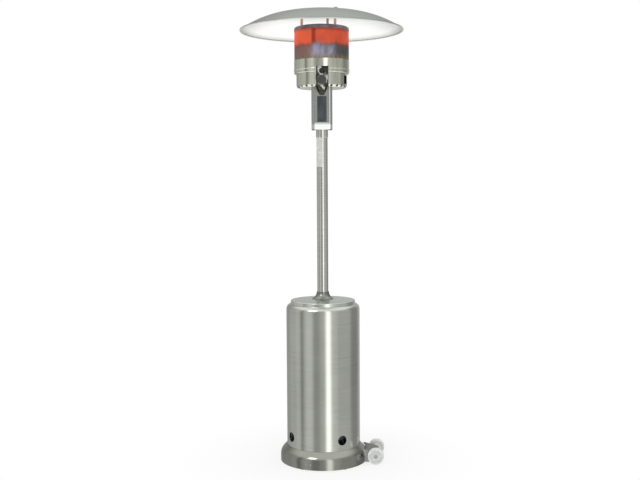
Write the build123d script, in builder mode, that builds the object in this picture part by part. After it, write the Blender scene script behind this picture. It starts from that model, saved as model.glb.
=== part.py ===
# Mushroom patio heater, in millimetres.
# The origin is on the floor at the pole's axis. +Z is up, the control recess faces -Y.
from build123d import *
from math import asin, cos, degrees, hypot, radians, sin, sqrt, tan
import os

os.makedirs("parts", exist_ok=True)

# Clearances
seat_gap = 0.3
running_clearance = 0.05

# Base pan
base_radius = 218.5
base_sheet = 1.5
base_hem = 24.0
foot_height = 3.0
foot_radius = 8.0
foot_count = 6
skirt_height = 31.0
flare_bend_share = 1.5773
flare_angle = 45.0
neck_height = 8.0
neck_clearance = 1.5
ledge_margin = 1.3
skirt_screw_angles = (246.2, 253.1)
skirt_screw_radius = 3.6

# Tank cover, a tube with a rolled shoulder that stands on the base ledge
cover_radius = 185.5
cover_sheet = 1.0
cover_height = 715.0
shoulder_bend_radius = 29.0
shoulder_height = 28.0
cover_flange = 26.0
vent_count = 4
vent_radius = 24.0
vent_first_angle = 30.0
vent_rise = 51.0
seam_strip_width = 30.0
seam_strip_sheet = 1.5
seam_strip_foot_gap = 3.0
seam_strip_end_gaps = 10.0
seam_angle = 90.0
seam_screw_count = 5
seam_screw_radius = 3.6

# Lid of the tank cover
lid_radius = 162.5
lid_wall = 17.0
lid_rise = 6.0
lid_flat_radius = 62.0
lid_sheet = 1.0
lid_collar_radius = 54.0
lid_collar_height = 36.0
lid_collar_lip = 2.0
pole_slide_clearance = 1.2

# Support legs and post socket
leg_angles = (75.0, 195.0, 315.0)
leg_width = 30.0
leg_thickness = 5.0
leg_outer_radius = 173.0
leg_foot_length = 44.0
leg_bend_radius = 24.0
leg_foot_bolt_reach = 28.0
leg_slope_height = 90.6
leg_knee_drop = 6.0
leg_top_drop = 8.0
leg_nut_length = 8.0
leg_bolt_radius = 4.0
bolt_clearance = 0.2
socket_drop = 111.7
socket_bolt_rises = (22.0, 58.0)
socket_height = 86.0
socket_wall = 3.5
socket_lug = 3.0
socket_lip = 4.0

# Pole
pole_radius = 28.0
pole_wall = 1.6
pole_length = 993.0
collar_height = 38.0
collar_wall = 2.2
band_height = 144.0
band_thickness = 0.4
band_start_angle = 188.0
band_sweep = 88.0

# Gas cylinder
tank_radius = 152.0
tank_wall = 3.0
tank_straight = 235.0
tank_bottom_dome = 42.0
tank_top_dome = 60.0
tank_knuckle = 26.0
tank_clearance = 10.0
foot_ring_radius = 101.0
guard_radius = 105.0
guard_sheet = 3.0
guard_height = 130.0
guard_mouth_angle = 110.0
tank_neck_radius = 16.0
tank_neck_height = 5.0
handwheel_radius = 30.0
handwheel_height = 16.0

# Cylinder valve, regulator and hose
valve_outlet_radius = 11.0
valve_outlet_length = 50.0
valve_outlet_rise = 30.0
valve_body_radius = 14.0
valve_body_height = 46.0
valve_spindle_radius = 4.0
nut_radius = 16.0
nut_length = 34.0
nipple_radius = 8.0
regulator_radius = 29.0
regulator_height = 26.0
regulator_offset = 98.0
hose_radius = 6.5
hose_bore = 4.0
hose_rise = 75.0
hose_knee_drop = 18.0
hose_bend_radii = (80.0, 110.0)
ferrule_length = 18.0
ferrule_wall = 1.8

# Wheel kit
wheel_radius = 40.0
wheel_width = 28.0
wheel_gap = 0.5
wheel_rim = 8.0
wheel_dish = 8.0
wheel_lift = 2.5
wheel_track = 167.0
wheel_reach = 268.0
wheel_angle = -4.6
axle_radius = 5.0
ear_offset = 62.0
ear_thickness = 2.5
ear_end_radius = 13.0
bracket_bolt_turns = (-8.0, 8.0)
bracket_bolt_radius = 5.0
axle_cap_radius = 9.0
axle_cap_length = 4.0
hub_radius = 12.0

# Control housing
housing_width = 104.0
housing_depth = 100.0
housing_height = 205.0
housing_corner = 15.0
housing_sheet = 1.2
cover_split = 35.0
chin_height = 33.0
chin_depth = 20.0
label_width = 46.0
label_height = 127.0
label_thickness = 1.0
label_rise = 37.0
bracket_sheet = 3.0
bracket_width = 70.0
bracket_foot_setback = 2.0
union_rise = 22.0
case_screw_inset = 10.0
case_screw_rise = 30.0
bracket_rise = 13.0
back_screw_radius = 3.6
back_slot_count = 5
back_slot_pitch = 12.0
back_slot_width = 50.0
back_slot_height = 5.0
spigot_length = 38.0
spigot_wall = 3.0
shelf_hole_radius = 18.0
pipe_radius = 5.0
pipe_wall = 1.0
pipe_nut_radius = 10.0
pipe_nut_length = 16.0

# Control recess
recess_width = 64.0
recess_sheet = 1.0
recess_depth = 30.0
recess_top_rise = 97.0
recess_knee_rise = 6.0
spout_drop = 37.0
spout_width = 16.0
spout_depth = 4.0

notch_clearance = 0.5

# Controls
valve_block_size = 34.0
valve_floor_rise = 5.0
jet_rise = 20.0
valve_block_front = 18.0
valve_barrel_radius = 16.0
valve_boss_radius = 9.0
valve_port_radius = 11.0
magnet_radius = 9.0
magnet_length = 22.0
stem_grip = 12.0
stem_flat = 2.5
knob_pointer = 2.0
bezel_height = 2.5
button_socket = 20.0
knob_radius = 23.0
knob_length = 20.0
knob_travel = 4.0
knob_gap = 5.0
knob_rise = 34.0
knob_flutes = 18
flute_offset = 1.8
flute_radius = 3.2
knob_edge_radius = 2.5
knob_skirt = 4.0
pointer_sink = 1.0
pointer_width = 4.0
knob_bore_spare = 1.0
stem_setback = 5.0
stem_radius = 4.0
button_radius = 7.0
button_length = 9.0
button_travel = 5.0
button_rise = 78.0
igniter_radius = 10.0
igniter_length = 42.0
bezel_radius = 13.0

# Tilt switch
tilt_box_width = 32.0
tilt_box_depth = 26.0
tilt_box_height = 48.0
tilt_wall = 2.0
tilt_rise = 72.0
tilt_pin_drop = 6.0
tilt_pin_radius = 1.2
tilt_arm = 20.0
tilt_bob_radius = 4.5

# Burner cup and band
cup_radius = 126.2
cup_sheet = 1.0
cup_corner = 16.0
cup_height = 70.0
cup_flange = 7.0
slot_count = 24
slot_width = 9.0
slot_height = 13.0
slot_rise = 6.0
port_angle = -22.0
port_width = 41.0
port_height = 32.0
port_rise = 22.0
band_radius = 137.0
band_sheet = 1.0
burner_band_height = 66.0
screen_fit_gap = 0.2
bead_rise = 18.0
bead_radius = 2.3

# Burner inside
deck_drop = 9.0
deck_sheet = 1.2
deck_skirt = 10.0
deck_slot_count = 12
jet_radius = 9.0
venturi_radius = 15.0
venturi_mouth_radius = 25.0
venturi_wall = 1.5
burner_head_radius = 62.0
burner_head_height = 28.0
burner_head_wall = 4.0
burner_port_count = 24
pilot_reach = 92.0

# Emitter screen and top cap
screen_sheet = 0.8
screen_height = 161.0
cap_corner = 12.0
cap_sheet = 1.2
cap_overlap = 8.0
seam_lap_angle = 253.4
lap_width = 14.0
lap_thickness = 1.2

# Reflector
reflector_radius = 406.5
reflector_rise = 88.0
reflector_flat_radius = 112.0
reflector_sheet = 1.0
reflector_bead_radius = 4.0
reflector_gap = 71.0
stud_circle_radius = 100.0
stud_first_angle = 72.0
stud_count = 3
stud_radius = 4.0
stud_tail = 10.0
stud_head = 16.0
spacer_radius = 6.5
nut_thickness = 6.5
nut_across = 6.5

# Heights and radii worked out from the sizes above
cover_inner_radius = cover_radius - cover_sheet
neck_radius = cover_inner_radius - neck_clearance
ledge_radius = cover_radius + ledge_margin
skirt_top = foot_height + skirt_height
flare_bend_radius = flare_bend_share * (base_radius - ledge_radius)
flare_run = flare_bend_radius * (1 - cos(radians(flare_angle)))
flare_start_radius = base_radius - flare_run
flare_start_height = skirt_top + flare_bend_radius * sin(radians(flare_angle))
ledge_height = flare_start_height + (flare_start_radius - ledge_radius) / tan(radians(flare_angle))
deck_top = ledge_height + neck_height
cover_bottom = ledge_height + seat_gap
cover_top = cover_bottom + cover_height
vent_height = cover_bottom + vent_rise
strip_bottom = cover_bottom + seam_strip_foot_gap
strip_height = cover_height - shoulder_height - seam_strip_end_gaps
seam_screw_heights = [
    strip_bottom + strip_height * (row + 0.5) / seam_screw_count for row in range(seam_screw_count)
]
lid_top = cover_top + lid_wall
lid_flat_top = lid_top + lid_rise
lid_collar_top = lid_flat_top + lid_collar_height
collar_bore_radius = pole_radius + pole_slide_clearance

leg_foot_bolt_circle = leg_outer_radius - leg_foot_bolt_reach
socket_bottom = cover_top - socket_drop
socket_bolt_heights = [socket_bottom + rise for rise in socket_bolt_rises]
leg_bend_height = socket_bottom - leg_slope_height
socket_bore = pole_radius + running_clearance
socket_radius = socket_bore + socket_wall
socket_lug_radius = socket_radius + socket_lug
pole_bottom = socket_bottom + socket_lip
pole_top = pole_bottom + pole_length
bracket_bottom = pole_top
housing_bottom = bracket_bottom - bracket_rise
housing_top = housing_bottom + housing_height
pole_inner_radius = pole_radius - pole_wall
spigot_radius = pole_inner_radius - 2 * running_clearance
band_inner_radius = pole_radius + 2 * running_clearance
band_outer_radius = band_inner_radius + band_thickness
housing_front = housing_depth / 2
bracket_back = housing_front - housing_sheet

tank_bottom = deck_top + tank_clearance
tank_shoulder = tank_bottom + tank_bottom_dome
tank_top_shoulder = tank_shoulder + tank_straight
tank_top = tank_top_shoulder + tank_top_dome
valve_bottom = tank_top + tank_neck_height
outlet_height = valve_bottom + valve_outlet_rise
handwheel_bottom = valve_bottom + valve_body_height + seat_gap
regulator_top = outlet_height + regulator_height / 2

skirt_screw_height = skirt_top - skirt_screw_radius
bracket_bolt_height = foot_height + skirt_height / 2
axle_height = wheel_radius + wheel_lift
wheel_inner_face = ear_offset + ear_thickness + wheel_gap
wheel_outer_face = wheel_track / 2 + wheel_width / 2
axle_half_length = wheel_outer_face + wheel_gap + axle_cap_length

cup_bottom = housing_top
cup_top = cup_bottom + cup_height
band_bottom = cup_top
band_top = band_bottom + burner_band_height
recess_back = cup_radius - recess_depth
recess_top = cup_bottom + recess_top_rise
recess_knee = cup_bottom + recess_knee_rise
spout_bottom = cup_bottom - spout_drop
knob_height = cup_bottom + knob_rise
button_height = cup_bottom + button_rise

screen_radius = band_radius - band_sheet - screen_fit_gap
deck_top_height = band_top - deck_drop
screen_top = deck_top_height + screen_height
cap_top = screen_top + seat_gap + cap_corner
cap_inner_radius = band_radius - cap_sheet
reflector_flat_bottom = cap_top + reflector_gap
reflector_flat_top = reflector_flat_bottom + reflector_sheet
stud_top = reflector_flat_top + stud_head
valve_floor = cup_bottom + valve_floor_rise
jet_top = knob_height + valve_block_size / 2 + jet_rise
venturi_top = deck_top_height + deck_sheet * 2
cap_shoulder = screen_top + seat_gap
screw_half_spread = bracket_width / 2 - case_screw_inset
back_screw_places = [
    (screw_side * screw_half_spread, housing_bottom + screw_rise)
    for screw_side in (-1, 1)
    for screw_rise in (case_screw_rise, housing_height - case_screw_rise)
]
shelf_reach = 20.0
bracket_foot_reach = housing_front - chin_depth - bracket_foot_setback
union_bottom = bracket_bottom + union_rise
pilot_x = pilot_reach * cos(radians(port_angle))
pilot_y = pilot_reach * sin(radians(port_angle))
pilot_place = (pilot_x, pilot_y)

# The recess is drawn from its back wall towards the front, which is -Y
RECESS_ALIGN = (Align.CENTER, Align.MAX)
recess_wall_back = recess_back - recess_sheet
recess_outer_width = recess_width + 2 * recess_sheet
cheek_front_cup = sqrt(cup_radius**2 - (recess_outer_width / 2) ** 2)
cheek_front_band = sqrt(band_radius**2 - (recess_outer_width / 2) ** 2)
spout_lean = (recess_wall_back - housing_front) / (recess_knee - spout_bottom)
notch_back = recess_wall_back - spout_lean * (recess_knee - cup_bottom) - notch_clearance
notch_width = recess_outer_width + 2 * notch_clearance
knob_back = recess_back + knob_gap
stem_front = knob_back + knob_length - knob_travel - stem_setback


def tank_crown_radius(dome_height):
    """Radius of the flat crown of a cylinder end that meets the knuckle without a corner."""
    reach = tank_radius - tank_knuckle
    return (reach**2 + dome_height**2 - tank_knuckle**2) / (2 * (dome_height - tank_knuckle))


def dome_joint(level, dome_height, way):
    """Where crown and knuckle of a cylinder end meet; way is 1 at the top and -1 at the bottom."""
    reach = tank_radius - tank_knuckle
    centre_drop = tank_crown_radius(dome_height) - dome_height
    share = tank_knuckle / hypot(reach, centre_drop)
    return (reach + reach * share, level + way * centre_drop * share)


def crown_height(radius, dome_height):
    """Height of a cylinder end's crown above its level at a radius."""
    crown = tank_crown_radius(dome_height)
    return sqrt(crown**2 - radius**2) - (crown - dome_height)


def radial_plane(angle, height, reach=0.0):
    """A plane at a reach from the axis that looks outwards at an angle."""
    turn = radians(angle)
    outwards = (cos(turn), sin(turn), 0)
    return Plane(origin=(reach * cos(turn), reach * sin(turn), height), z_dir=outwards)


def side_plane(angle):
    """The upright plane through the axis, with local X outwards and local Y up."""
    turn = radians(angle)
    return Plane(origin=(0, 0, 0), x_dir=(cos(turn), sin(turn), 0), z_dir=(sin(turn), -cos(turn), 0))


def pan_head_screw(head_radius, shank_length):
    """A screw with its head above z = 0 and its shank below."""
    with BuildPart() as screw:
        with BuildSketch():
            Circle(head_radius)
        extrude(amount=head_radius * 0.6)
        fillet(screw.edges().group_by(Axis.Z)[-1], head_radius * 0.3)
        with BuildSketch():
            Circle(head_radius * 0.5)
        extrude(amount=-shank_length)
    return screw.part


def hex_bolt(shank_radius, shank_length):
    """A bolt with its six-sided head above z = 0 and its shank below."""
    with BuildPart() as bolt:
        with BuildSketch():
            RegularPolygon(shank_radius * 1.6, 6, major_radius=False)
        extrude(amount=shank_radius * 1.3)
        with BuildSketch():
            Circle(shank_radius)
        extrude(amount=-shank_length)
    return bolt.part


def save(piece, name):
    """Label a finished piece and write it."""
    piece.label = name
    export_step(piece, "parts/" + name + ".step")


# Base pan: skirt, rounded flare, ledge for the cover and deck, pressed from one sheet
with BuildPart() as base_pan:
    with BuildSketch(Plane.XZ):
        with BuildLine():
            hem = Line((base_radius - base_hem, foot_height), (base_radius, foot_height))
            skirt = Line(hem @ 1, (base_radius, skirt_top))
            bend = TangentArc(
                skirt @ 1, (flare_start_radius, flare_start_height), tangent=(0, 1)
            )
            flare = Line(bend @ 1, (ledge_radius, ledge_height))
            ledge = Line(flare @ 1, (neck_radius, ledge_height))
            neck = Line(ledge @ 1, (neck_radius, deck_top))
            Line(neck @ 1, (0, deck_top))
            offset(amount=base_sheet, side=Side.LEFT)
        make_face()
    revolve(axis=Axis.Z)
    for leg_angle in leg_angles:
        with BuildSketch(Plane.XY.offset(deck_top)):
            with PolarLocations(leg_foot_bolt_circle, 1, leg_angle):
                Circle(leg_bolt_radius + bolt_clearance)
        extrude(amount=-2 * base_sheet, mode=Mode.SUBTRACT)
    for screw_angle in skirt_screw_angles:
        with BuildSketch(radial_plane(screw_angle, skirt_screw_height)):
            Circle(skirt_screw_radius * 0.5 + bolt_clearance)
        extrude(amount=base_radius, mode=Mode.SUBTRACT)
    for bolt_turn in bracket_bolt_turns:
        with BuildSketch(radial_plane(wheel_angle + bolt_turn, bracket_bolt_height)):
            Circle(bracket_bolt_radius * 0.5 + bolt_clearance)
        extrude(amount=base_radius, mode=Mode.SUBTRACT)
save(base_pan.part, "base_pan")

# Rubber feet under the hem
with BuildPart() as rubber_feet:
    with BuildSketch():
        with PolarLocations(base_radius - base_hem / 2, foot_count):
            Circle(foot_radius)
    extrude(amount=foot_height)
save(rubber_feet.part, "rubber_feet")

# Support legs: flat bars bent at the foot, under the socket and along it
leg_middle = leg_outer_radius - leg_thickness
leg_top = socket_bottom + socket_height - leg_top_drop
leg_names = ("support_leg_rear", "support_leg_left", "support_leg_right")
for leg_angle, leg_name in zip(leg_angles, leg_names):
    with BuildPart() as support_leg:
        with BuildSketch(side_plane(leg_angle)):
            with BuildLine():
                FilletPolyline(
                    (leg_middle - leg_foot_length, deck_top + leg_thickness),
                    (leg_middle, deck_top + leg_thickness),
                    (leg_middle, leg_bend_height),
                    (socket_lug_radius, socket_bottom - leg_knee_drop),
                    (socket_lug_radius, leg_top),
                    radius=leg_bend_radius * 0.4,
                )
                offset(amount=leg_thickness, side=Side.RIGHT)
            make_face()
        extrude(amount=leg_width / 2, both=True)
        with BuildSketch(Plane.XY.offset(deck_top)):
            with PolarLocations(leg_foot_bolt_circle, 1, leg_angle):
                Circle(leg_bolt_radius + bolt_clearance)
        extrude(amount=2 * leg_thickness, mode=Mode.SUBTRACT)
        for bolt_height in socket_bolt_heights:
            with BuildSketch(radial_plane(leg_angle, bolt_height)):
                Circle(leg_bolt_radius + bolt_clearance)
            extrude(amount=2 * socket_lug_radius, mode=Mode.SUBTRACT)
    save(support_leg.part, leg_name)

# Bolts that hold the legs' feet to the deck
with BuildPart() as leg_bolts:
    with PolarLocations(leg_foot_bolt_circle, 3, leg_angles[0]):
        with Locations((0, 0, deck_top + leg_thickness)):
            add(hex_bolt(leg_bolt_radius, leg_thickness + base_sheet + leg_nut_length))
save(leg_bolts.part, "leg_bolts")

# Post socket: a tube with an inner lip for the pole and three flat lugs
with BuildPart() as post_socket:
    with BuildSketch(Plane.XY.offset(socket_bottom)):
        Circle(socket_radius)
        for leg_angle in leg_angles:
            with PolarLocations(socket_lug_radius / 2, 1, leg_angle):
                Rectangle(socket_lug_radius, leg_width)
        Circle(pole_inner_radius - 2.5, mode=Mode.SUBTRACT)
    extrude(amount=socket_height)
    with BuildSketch(Plane.XY.offset(pole_bottom)):
        Circle(socket_bore)
    extrude(amount=socket_height, mode=Mode.SUBTRACT)
    for leg_angle in leg_angles:
        for bolt_height in socket_bolt_heights:
            with BuildSketch(radial_plane(leg_angle, bolt_height)):
                Circle(leg_bolt_radius + bolt_clearance)
            extrude(amount=2 * socket_lug_radius, mode=Mode.SUBTRACT)
save(post_socket.part, "post_socket")

# Bolts that clamp the legs' tops to the socket
with BuildPart() as socket_bolts:
    for leg_angle in leg_angles:
        for bolt_height in socket_bolt_heights:
            with Locations(radial_plane(leg_angle, bolt_height, socket_lug_radius + leg_thickness)):
                add(hex_bolt(leg_bolt_radius, leg_thickness + socket_lug + socket_wall - seat_gap))
save(socket_bolts.part, "socket_bolts")

# Pole
with BuildPart() as pole:
    with BuildSketch(Plane.XY.offset(pole_bottom)):
        Circle(pole_radius)
        Circle(pole_inner_radius, mode=Mode.SUBTRACT)
    extrude(amount=pole_length)
save(pole.part, "pole")

# Collar round the pole's top, under the control housing
with BuildPart() as pole_collar:
    with BuildSketch(Plane.XY.offset(housing_bottom - collar_height)):
        Circle(pole_radius + collar_wall)
        Circle(pole_radius, mode=Mode.SUBTRACT)
    extrude(amount=collar_height)
    chamfer(pole_collar.edges().group_by(Axis.Z)[0].sort_by(SortBy.LENGTH)[-1], collar_wall * 0.6)
save(pole_collar.part, "pole_collar")

# Plain pale band stuck round the front left of the pole
with BuildPart() as pole_band:
    with BuildSketch(Plane.XY.offset(housing_bottom - collar_height - band_height - 2.0)):
        with BuildLine():
            outer = CenterArc((0, 0), band_outer_radius, band_start_angle, band_sweep)
            inner = CenterArc((0, 0), band_inner_radius, band_start_angle, band_sweep)
            Line(outer @ 0, inner @ 0)
            Line(outer @ 1, inner @ 1)
        make_face()
    extrude(amount=band_height)
save(pole_band.part, "pole_band")

# Cover shell: flange, rolled shoulder and tube, with four round vents
with BuildPart() as cover_shell:
    with BuildSketch(Plane.XZ):
        with BuildLine():
            tube = Line((cover_radius, cover_bottom), (cover_radius, cover_top - shoulder_height))
            shoulder_lift = shoulder_height
            shoulder_run = shoulder_bend_radius - sqrt(shoulder_bend_radius**2 - shoulder_lift**2)
            rolled = TangentArc(tube @ 1, (cover_radius - shoulder_run, cover_top), tangent=(0, 1))
            Line(rolled @ 1, (rolled @ 1) - (cover_flange, 0))
            offset(amount=cover_sheet, side=Side.LEFT)
        make_face()
    revolve(axis=Axis.Z)
    for vent_index in range(vent_count):
        vent_angle = vent_first_angle + vent_index * 360.0 / vent_count
        with BuildSketch(radial_plane(vent_angle, vent_height)):
            Circle(vent_radius)
        extrude(amount=cover_radius + 5.0, mode=Mode.SUBTRACT)
    for screw_height in seam_screw_heights:
        with BuildSketch(radial_plane(seam_angle, screw_height)):
            Circle(seam_screw_radius * 0.5 + bolt_clearance)
        extrude(amount=cover_radius + 5.0, mode=Mode.SUBTRACT)
save(cover_shell.part, "cover_shell")

# Strip inside the cover that joins the two edges of its rolled sheet at the back
strip_turn = degrees(seam_strip_width / cover_inner_radius)
with BuildPart() as seam_strip:
    with BuildSketch(Plane.XY.offset(strip_bottom)):
        with BuildLine():
            outer = CenterArc((0, 0), cover_inner_radius, seam_angle - strip_turn / 2, strip_turn)
            inner = CenterArc((0, 0), cover_inner_radius - seam_strip_sheet, seam_angle - strip_turn / 2, strip_turn)
            Line(outer @ 0, inner @ 0)
            Line(outer @ 1, inner @ 1)
        make_face()
    extrude(amount=strip_height)
    for screw_height in seam_screw_heights:
        with BuildSketch(radial_plane(seam_angle, screw_height)):
            Circle(seam_screw_radius * 0.5 + bolt_clearance)
        extrude(amount=cover_radius + 5.0, mode=Mode.SUBTRACT)
save(seam_strip.part, "seam_strip")

# Screws down the seam
with BuildPart() as seam_screws:
    for screw_height in seam_screw_heights:
        with Locations(radial_plane(seam_angle, screw_height, cover_radius)):
            add(pan_head_screw(seam_screw_radius, cover_sheet + seam_strip_sheet + 2.0))
save(seam_screws.part, "seam_screws")

# Lid: wall, shallow cone and flat centre with a hole for the pole
with BuildPart() as cover_lid:
    with BuildSketch(Plane.XZ):
        with BuildLine():
            wall = Line((lid_radius, cover_top), (lid_radius, lid_top - 3.0))
            edge = TangentArc(wall @ 1, (lid_radius - 3.0, lid_top), tangent=(0, 1))
            cone = Line(edge @ 1, (lid_flat_radius, lid_flat_top))
            Line(cone @ 1, (collar_bore_radius + 1.0, lid_flat_top))
            offset(amount=lid_sheet, side=Side.LEFT)
        make_face()
    revolve(axis=Axis.Z)
save(cover_lid.part, "cover_lid")

# Flared collar on the lid that slides on the pole
with BuildPart() as lid_collar:
    with BuildSketch(Plane.XZ):
        with BuildLine():
            foot = Line((collar_bore_radius, lid_flat_top), (lid_collar_radius, lid_flat_top))
            lip = Line(foot @ 1, (lid_collar_radius, lid_flat_top + lid_collar_lip))
            flare = ThreePointArc(
                lip @ 1,
                (collar_bore_radius + 8.5, lid_flat_top + lid_collar_height * 0.42),
                (collar_bore_radius + 2.2, lid_collar_top),
            )
            rim = Line(flare @ 1, (collar_bore_radius, lid_collar_top))
            Line(rim @ 1, foot @ 0)
        make_face()
    revolve(axis=Axis.Z)
save(lid_collar.part, "lid_collar")

# Gas cylinder body: two domed ends, straight wall and neck
with BuildPart() as tank_body:
    with BuildSketch(Plane.XZ):
        with BuildLine():
            crown = RadiusArc(
                (0, tank_top),
                dome_joint(tank_top_shoulder, tank_top_dome, 1),
                tank_crown_radius(tank_top_dome),
            )
            knuckle = TangentArc(crown @ 1, (tank_radius, tank_top_shoulder), tangent=crown % 1)
            wall = Line(knuckle @ 1, (tank_radius, tank_shoulder))
            low_knuckle = TangentArc(
                wall @ 1, dome_joint(tank_shoulder, tank_bottom_dome, -1), tangent=(0, -1)
            )
            TangentArc(low_knuckle @ 1, (0, tank_bottom), tangent=low_knuckle % 1)
            offset(amount=tank_wall, side=Side.RIGHT)
        make_face()
    revolve(axis=Axis.Z)
    with BuildSketch(Plane.XY.offset(tank_top - 2.0)):
        Circle(tank_neck_radius)
    extrude(amount=valve_bottom - tank_top + 2.0)
save(tank_body.part, "tank_body")

# Foot ring under the cylinder
foot_ring_inner = foot_ring_radius - tank_wall
foot_ring_top = tank_shoulder - crown_height(foot_ring_inner, tank_bottom_dome)
with BuildPart() as tank_foot_ring:
    with BuildSketch(Plane.XY.offset(deck_top)):
        Circle(foot_ring_radius)
        Circle(foot_ring_inner, mode=Mode.SUBTRACT)
    extrude(amount=foot_ring_top - deck_top)
save(tank_foot_ring.part, "tank_foot_ring")

# Guard round the valve, open towards the valve's outlet
guard_outer = guard_radius + guard_sheet / 2
guard_inner = guard_radius - guard_sheet / 2
guard_bottom = tank_top_shoulder + crown_height(guard_inner, tank_top_dome)
guard_sweep = 360.0 - guard_mouth_angle
with BuildPart() as tank_guard:
    with BuildSketch(Plane.XY.offset(guard_bottom)):
        with BuildLine():
            outer = CenterArc((0, 0), guard_outer, 180.0 + guard_mouth_angle / 2, guard_sweep)
            inner = CenterArc((0, 0), guard_inner, 180.0 + guard_mouth_angle / 2, guard_sweep)
            Line(outer @ 0, inner @ 0)
            Line(outer @ 1, inner @ 1)
        make_face()
    extrude(amount=guard_height)
    with BuildSketch(Plane.XY.offset(guard_bottom + guard_height)):
        with BuildLine():
            outer = CenterArc((0, 0), guard_outer, 180.0 + guard_mouth_angle / 2, guard_sweep)
            inner = CenterArc((0, 0), guard_inner - 12.0, 180.0 + guard_mouth_angle / 2, guard_sweep)
            Line(outer @ 0, inner @ 0)
            Line(outer @ 1, inner @ 1)
        make_face()
    extrude(amount=-guard_sheet)
save(tank_guard.part, "tank_guard")

# Cylinder valve: body, side outlet and spindle
with BuildPart() as tank_valve:
    with BuildSketch(Plane.XY.offset(valve_bottom)):
        Circle(valve_body_radius)
    extrude(amount=valve_body_height)
    with BuildSketch(Plane.YZ.offset(-valve_outlet_length)):
        with Locations((0, outlet_height)):
            Circle(valve_outlet_radius)
    extrude(amount=valve_outlet_length)
    with BuildSketch(Plane.XY.offset(valve_bottom)):
        Circle(valve_spindle_radius)
    extrude(amount=valve_body_height + handwheel_height - 2.0)
save(tank_valve.part, "tank_valve")

# Handwheel on the cylinder valve
with BuildPart() as tank_handwheel:
    with BuildSketch(Plane.XY.offset(handwheel_bottom)):
        Circle(handwheel_radius)
        with PolarLocations(handwheel_radius + 5.0, 8):
            Circle(9.0, mode=Mode.SUBTRACT)
    extrude(amount=handwheel_height)
    fillet(tank_handwheel.edges().group_by(Axis.Z)[-1], 2.0)
    with BuildSketch(Plane.XY.offset(handwheel_bottom)):
        Circle(valve_spindle_radius + running_clearance)
    extrude(amount=handwheel_height - 1.0, mode=Mode.SUBTRACT)
save(tank_handwheel.part, "tank_handwheel")

# Regulator: inlet nipple with a shoulder, round diaphragm case and outlet barb
nipple_face = -valve_outlet_length - seat_gap
nipple_shoulder = 4.0
with BuildPart() as regulator:
    with BuildSketch(Plane.XY.offset(regulator_top - regulator_height)):
        with Locations((-regulator_offset, 0)):
            Circle(regulator_radius)
    extrude(amount=regulator_height)
    fillet(regulator.edges().group_by(Axis.Z)[-1], 5.0)
    fillet(regulator.edges().group_by(Axis.Z)[0], 3.0)
    with BuildSketch(Plane.YZ.offset(-regulator_offset)):
        with Locations((0, outlet_height)):
            Circle(nipple_radius)
    extrude(amount=regulator_offset + nipple_face)
    with BuildSketch(Plane.YZ.offset(nipple_face)):
        with Locations((0, outlet_height)):
            Circle(valve_outlet_radius - 0.5)
    extrude(amount=-nipple_shoulder)
    with BuildSketch(Plane.XY.offset(regulator_top - 1.0)):
        with Locations((-regulator_offset, 0)):
            Circle(hose_radius + 3.0)
    extrude(amount=5.0)
    with BuildSketch(Plane.XY.offset(regulator_top)):
        with Locations((-regulator_offset, 0)):
            Circle(hose_bore - 0.1)
    extrude(amount=ferrule_length)
save(regulator.part, "regulator")

# Coupling nut, free to turn on the nipple and round the valve's outlet
nut_back = nipple_face - nipple_shoulder - seat_gap - 8.0
with BuildPart() as regulator_nut:
    with BuildSketch(Plane.YZ.offset(nut_back)):
        with Locations((0, outlet_height)):
            RegularPolygon(nut_radius, 10)
            Circle(nipple_radius + running_clearance, mode=Mode.SUBTRACT)
    extrude(amount=nut_length)
    with BuildSketch(Plane.YZ.offset(nut_back + 8.0)):
        with Locations((0, outlet_height)):
            Circle(valve_outlet_radius + running_clearance)
    extrude(amount=nut_length, mode=Mode.SUBTRACT)
save(regulator_nut.part, "regulator_nut")

# Gas hose from the regulator, into the pole's foot and up to the union
hose_start = regulator_top + 4.0
with BuildPart() as gas_hose:
    with BuildLine() as hose_line:
        FilletPolyline(
            (-regulator_offset, 0, hose_start),
            (-regulator_offset, 0, hose_start + hose_rise),
            (0, 0, socket_bottom - hose_knee_drop),
            (0, 0, union_bottom),
            radius=hose_bend_radii,
        )
    with BuildSketch(Plane(origin=(-regulator_offset, 0, hose_start), z_dir=(0, 0, 1))):
        Circle(hose_radius)
    sweep(path=hose_line.wires()[0])
    with BuildSketch(Plane.XY.offset(hose_start)):
        with Locations((-regulator_offset, 0)):
            Circle(hose_bore)
    extrude(amount=ferrule_length - 4.0 + seat_gap, mode=Mode.SUBTRACT)
save(gas_hose.part, "gas_hose")
hose_length = hose_line.wires()[0].length
print("gas hose length", round(hose_length, 1), "section times length",
      round(hose_length * 3.14159 * hose_radius**2), "volume", round(gas_hose.part.volume))

# Crimped ferrules at both ends of the hose
with BuildPart() as hose_ferrules:
    with BuildSketch(Plane.XY.offset(hose_start)):
        with Locations((-regulator_offset, 0)):
            Circle(hose_radius + ferrule_wall)
            Circle(hose_radius, mode=Mode.SUBTRACT)
    extrude(amount=ferrule_length)
    with BuildSketch(Plane.XY.offset(union_bottom)):
        Circle(hose_radius + ferrule_wall)
        Circle(hose_radius, mode=Mode.SUBTRACT)
    extrude(amount=-ferrule_length)
save(hose_ferrules.part, "hose_ferrules")

# Wheel kit: local X runs outwards from the axis, local Y along the axle
kit_plane = Plane(
    origin=(0, 0, 0),
    x_dir=(cos(radians(wheel_angle)), sin(radians(wheel_angle)), 0),
    z_dir=(0, 0, 1),
)
axle_plane = Plane(
    origin=kit_plane.from_local_coords((wheel_reach, 0, axle_height)),
    x_dir=kit_plane.x_dir,
    z_dir=kit_plane.y_dir,
)
plate_turn = degrees(asin((ear_offset + ear_thickness) / base_radius))
ear_root = sqrt(base_radius**2 - ear_offset**2) + 2.5

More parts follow.
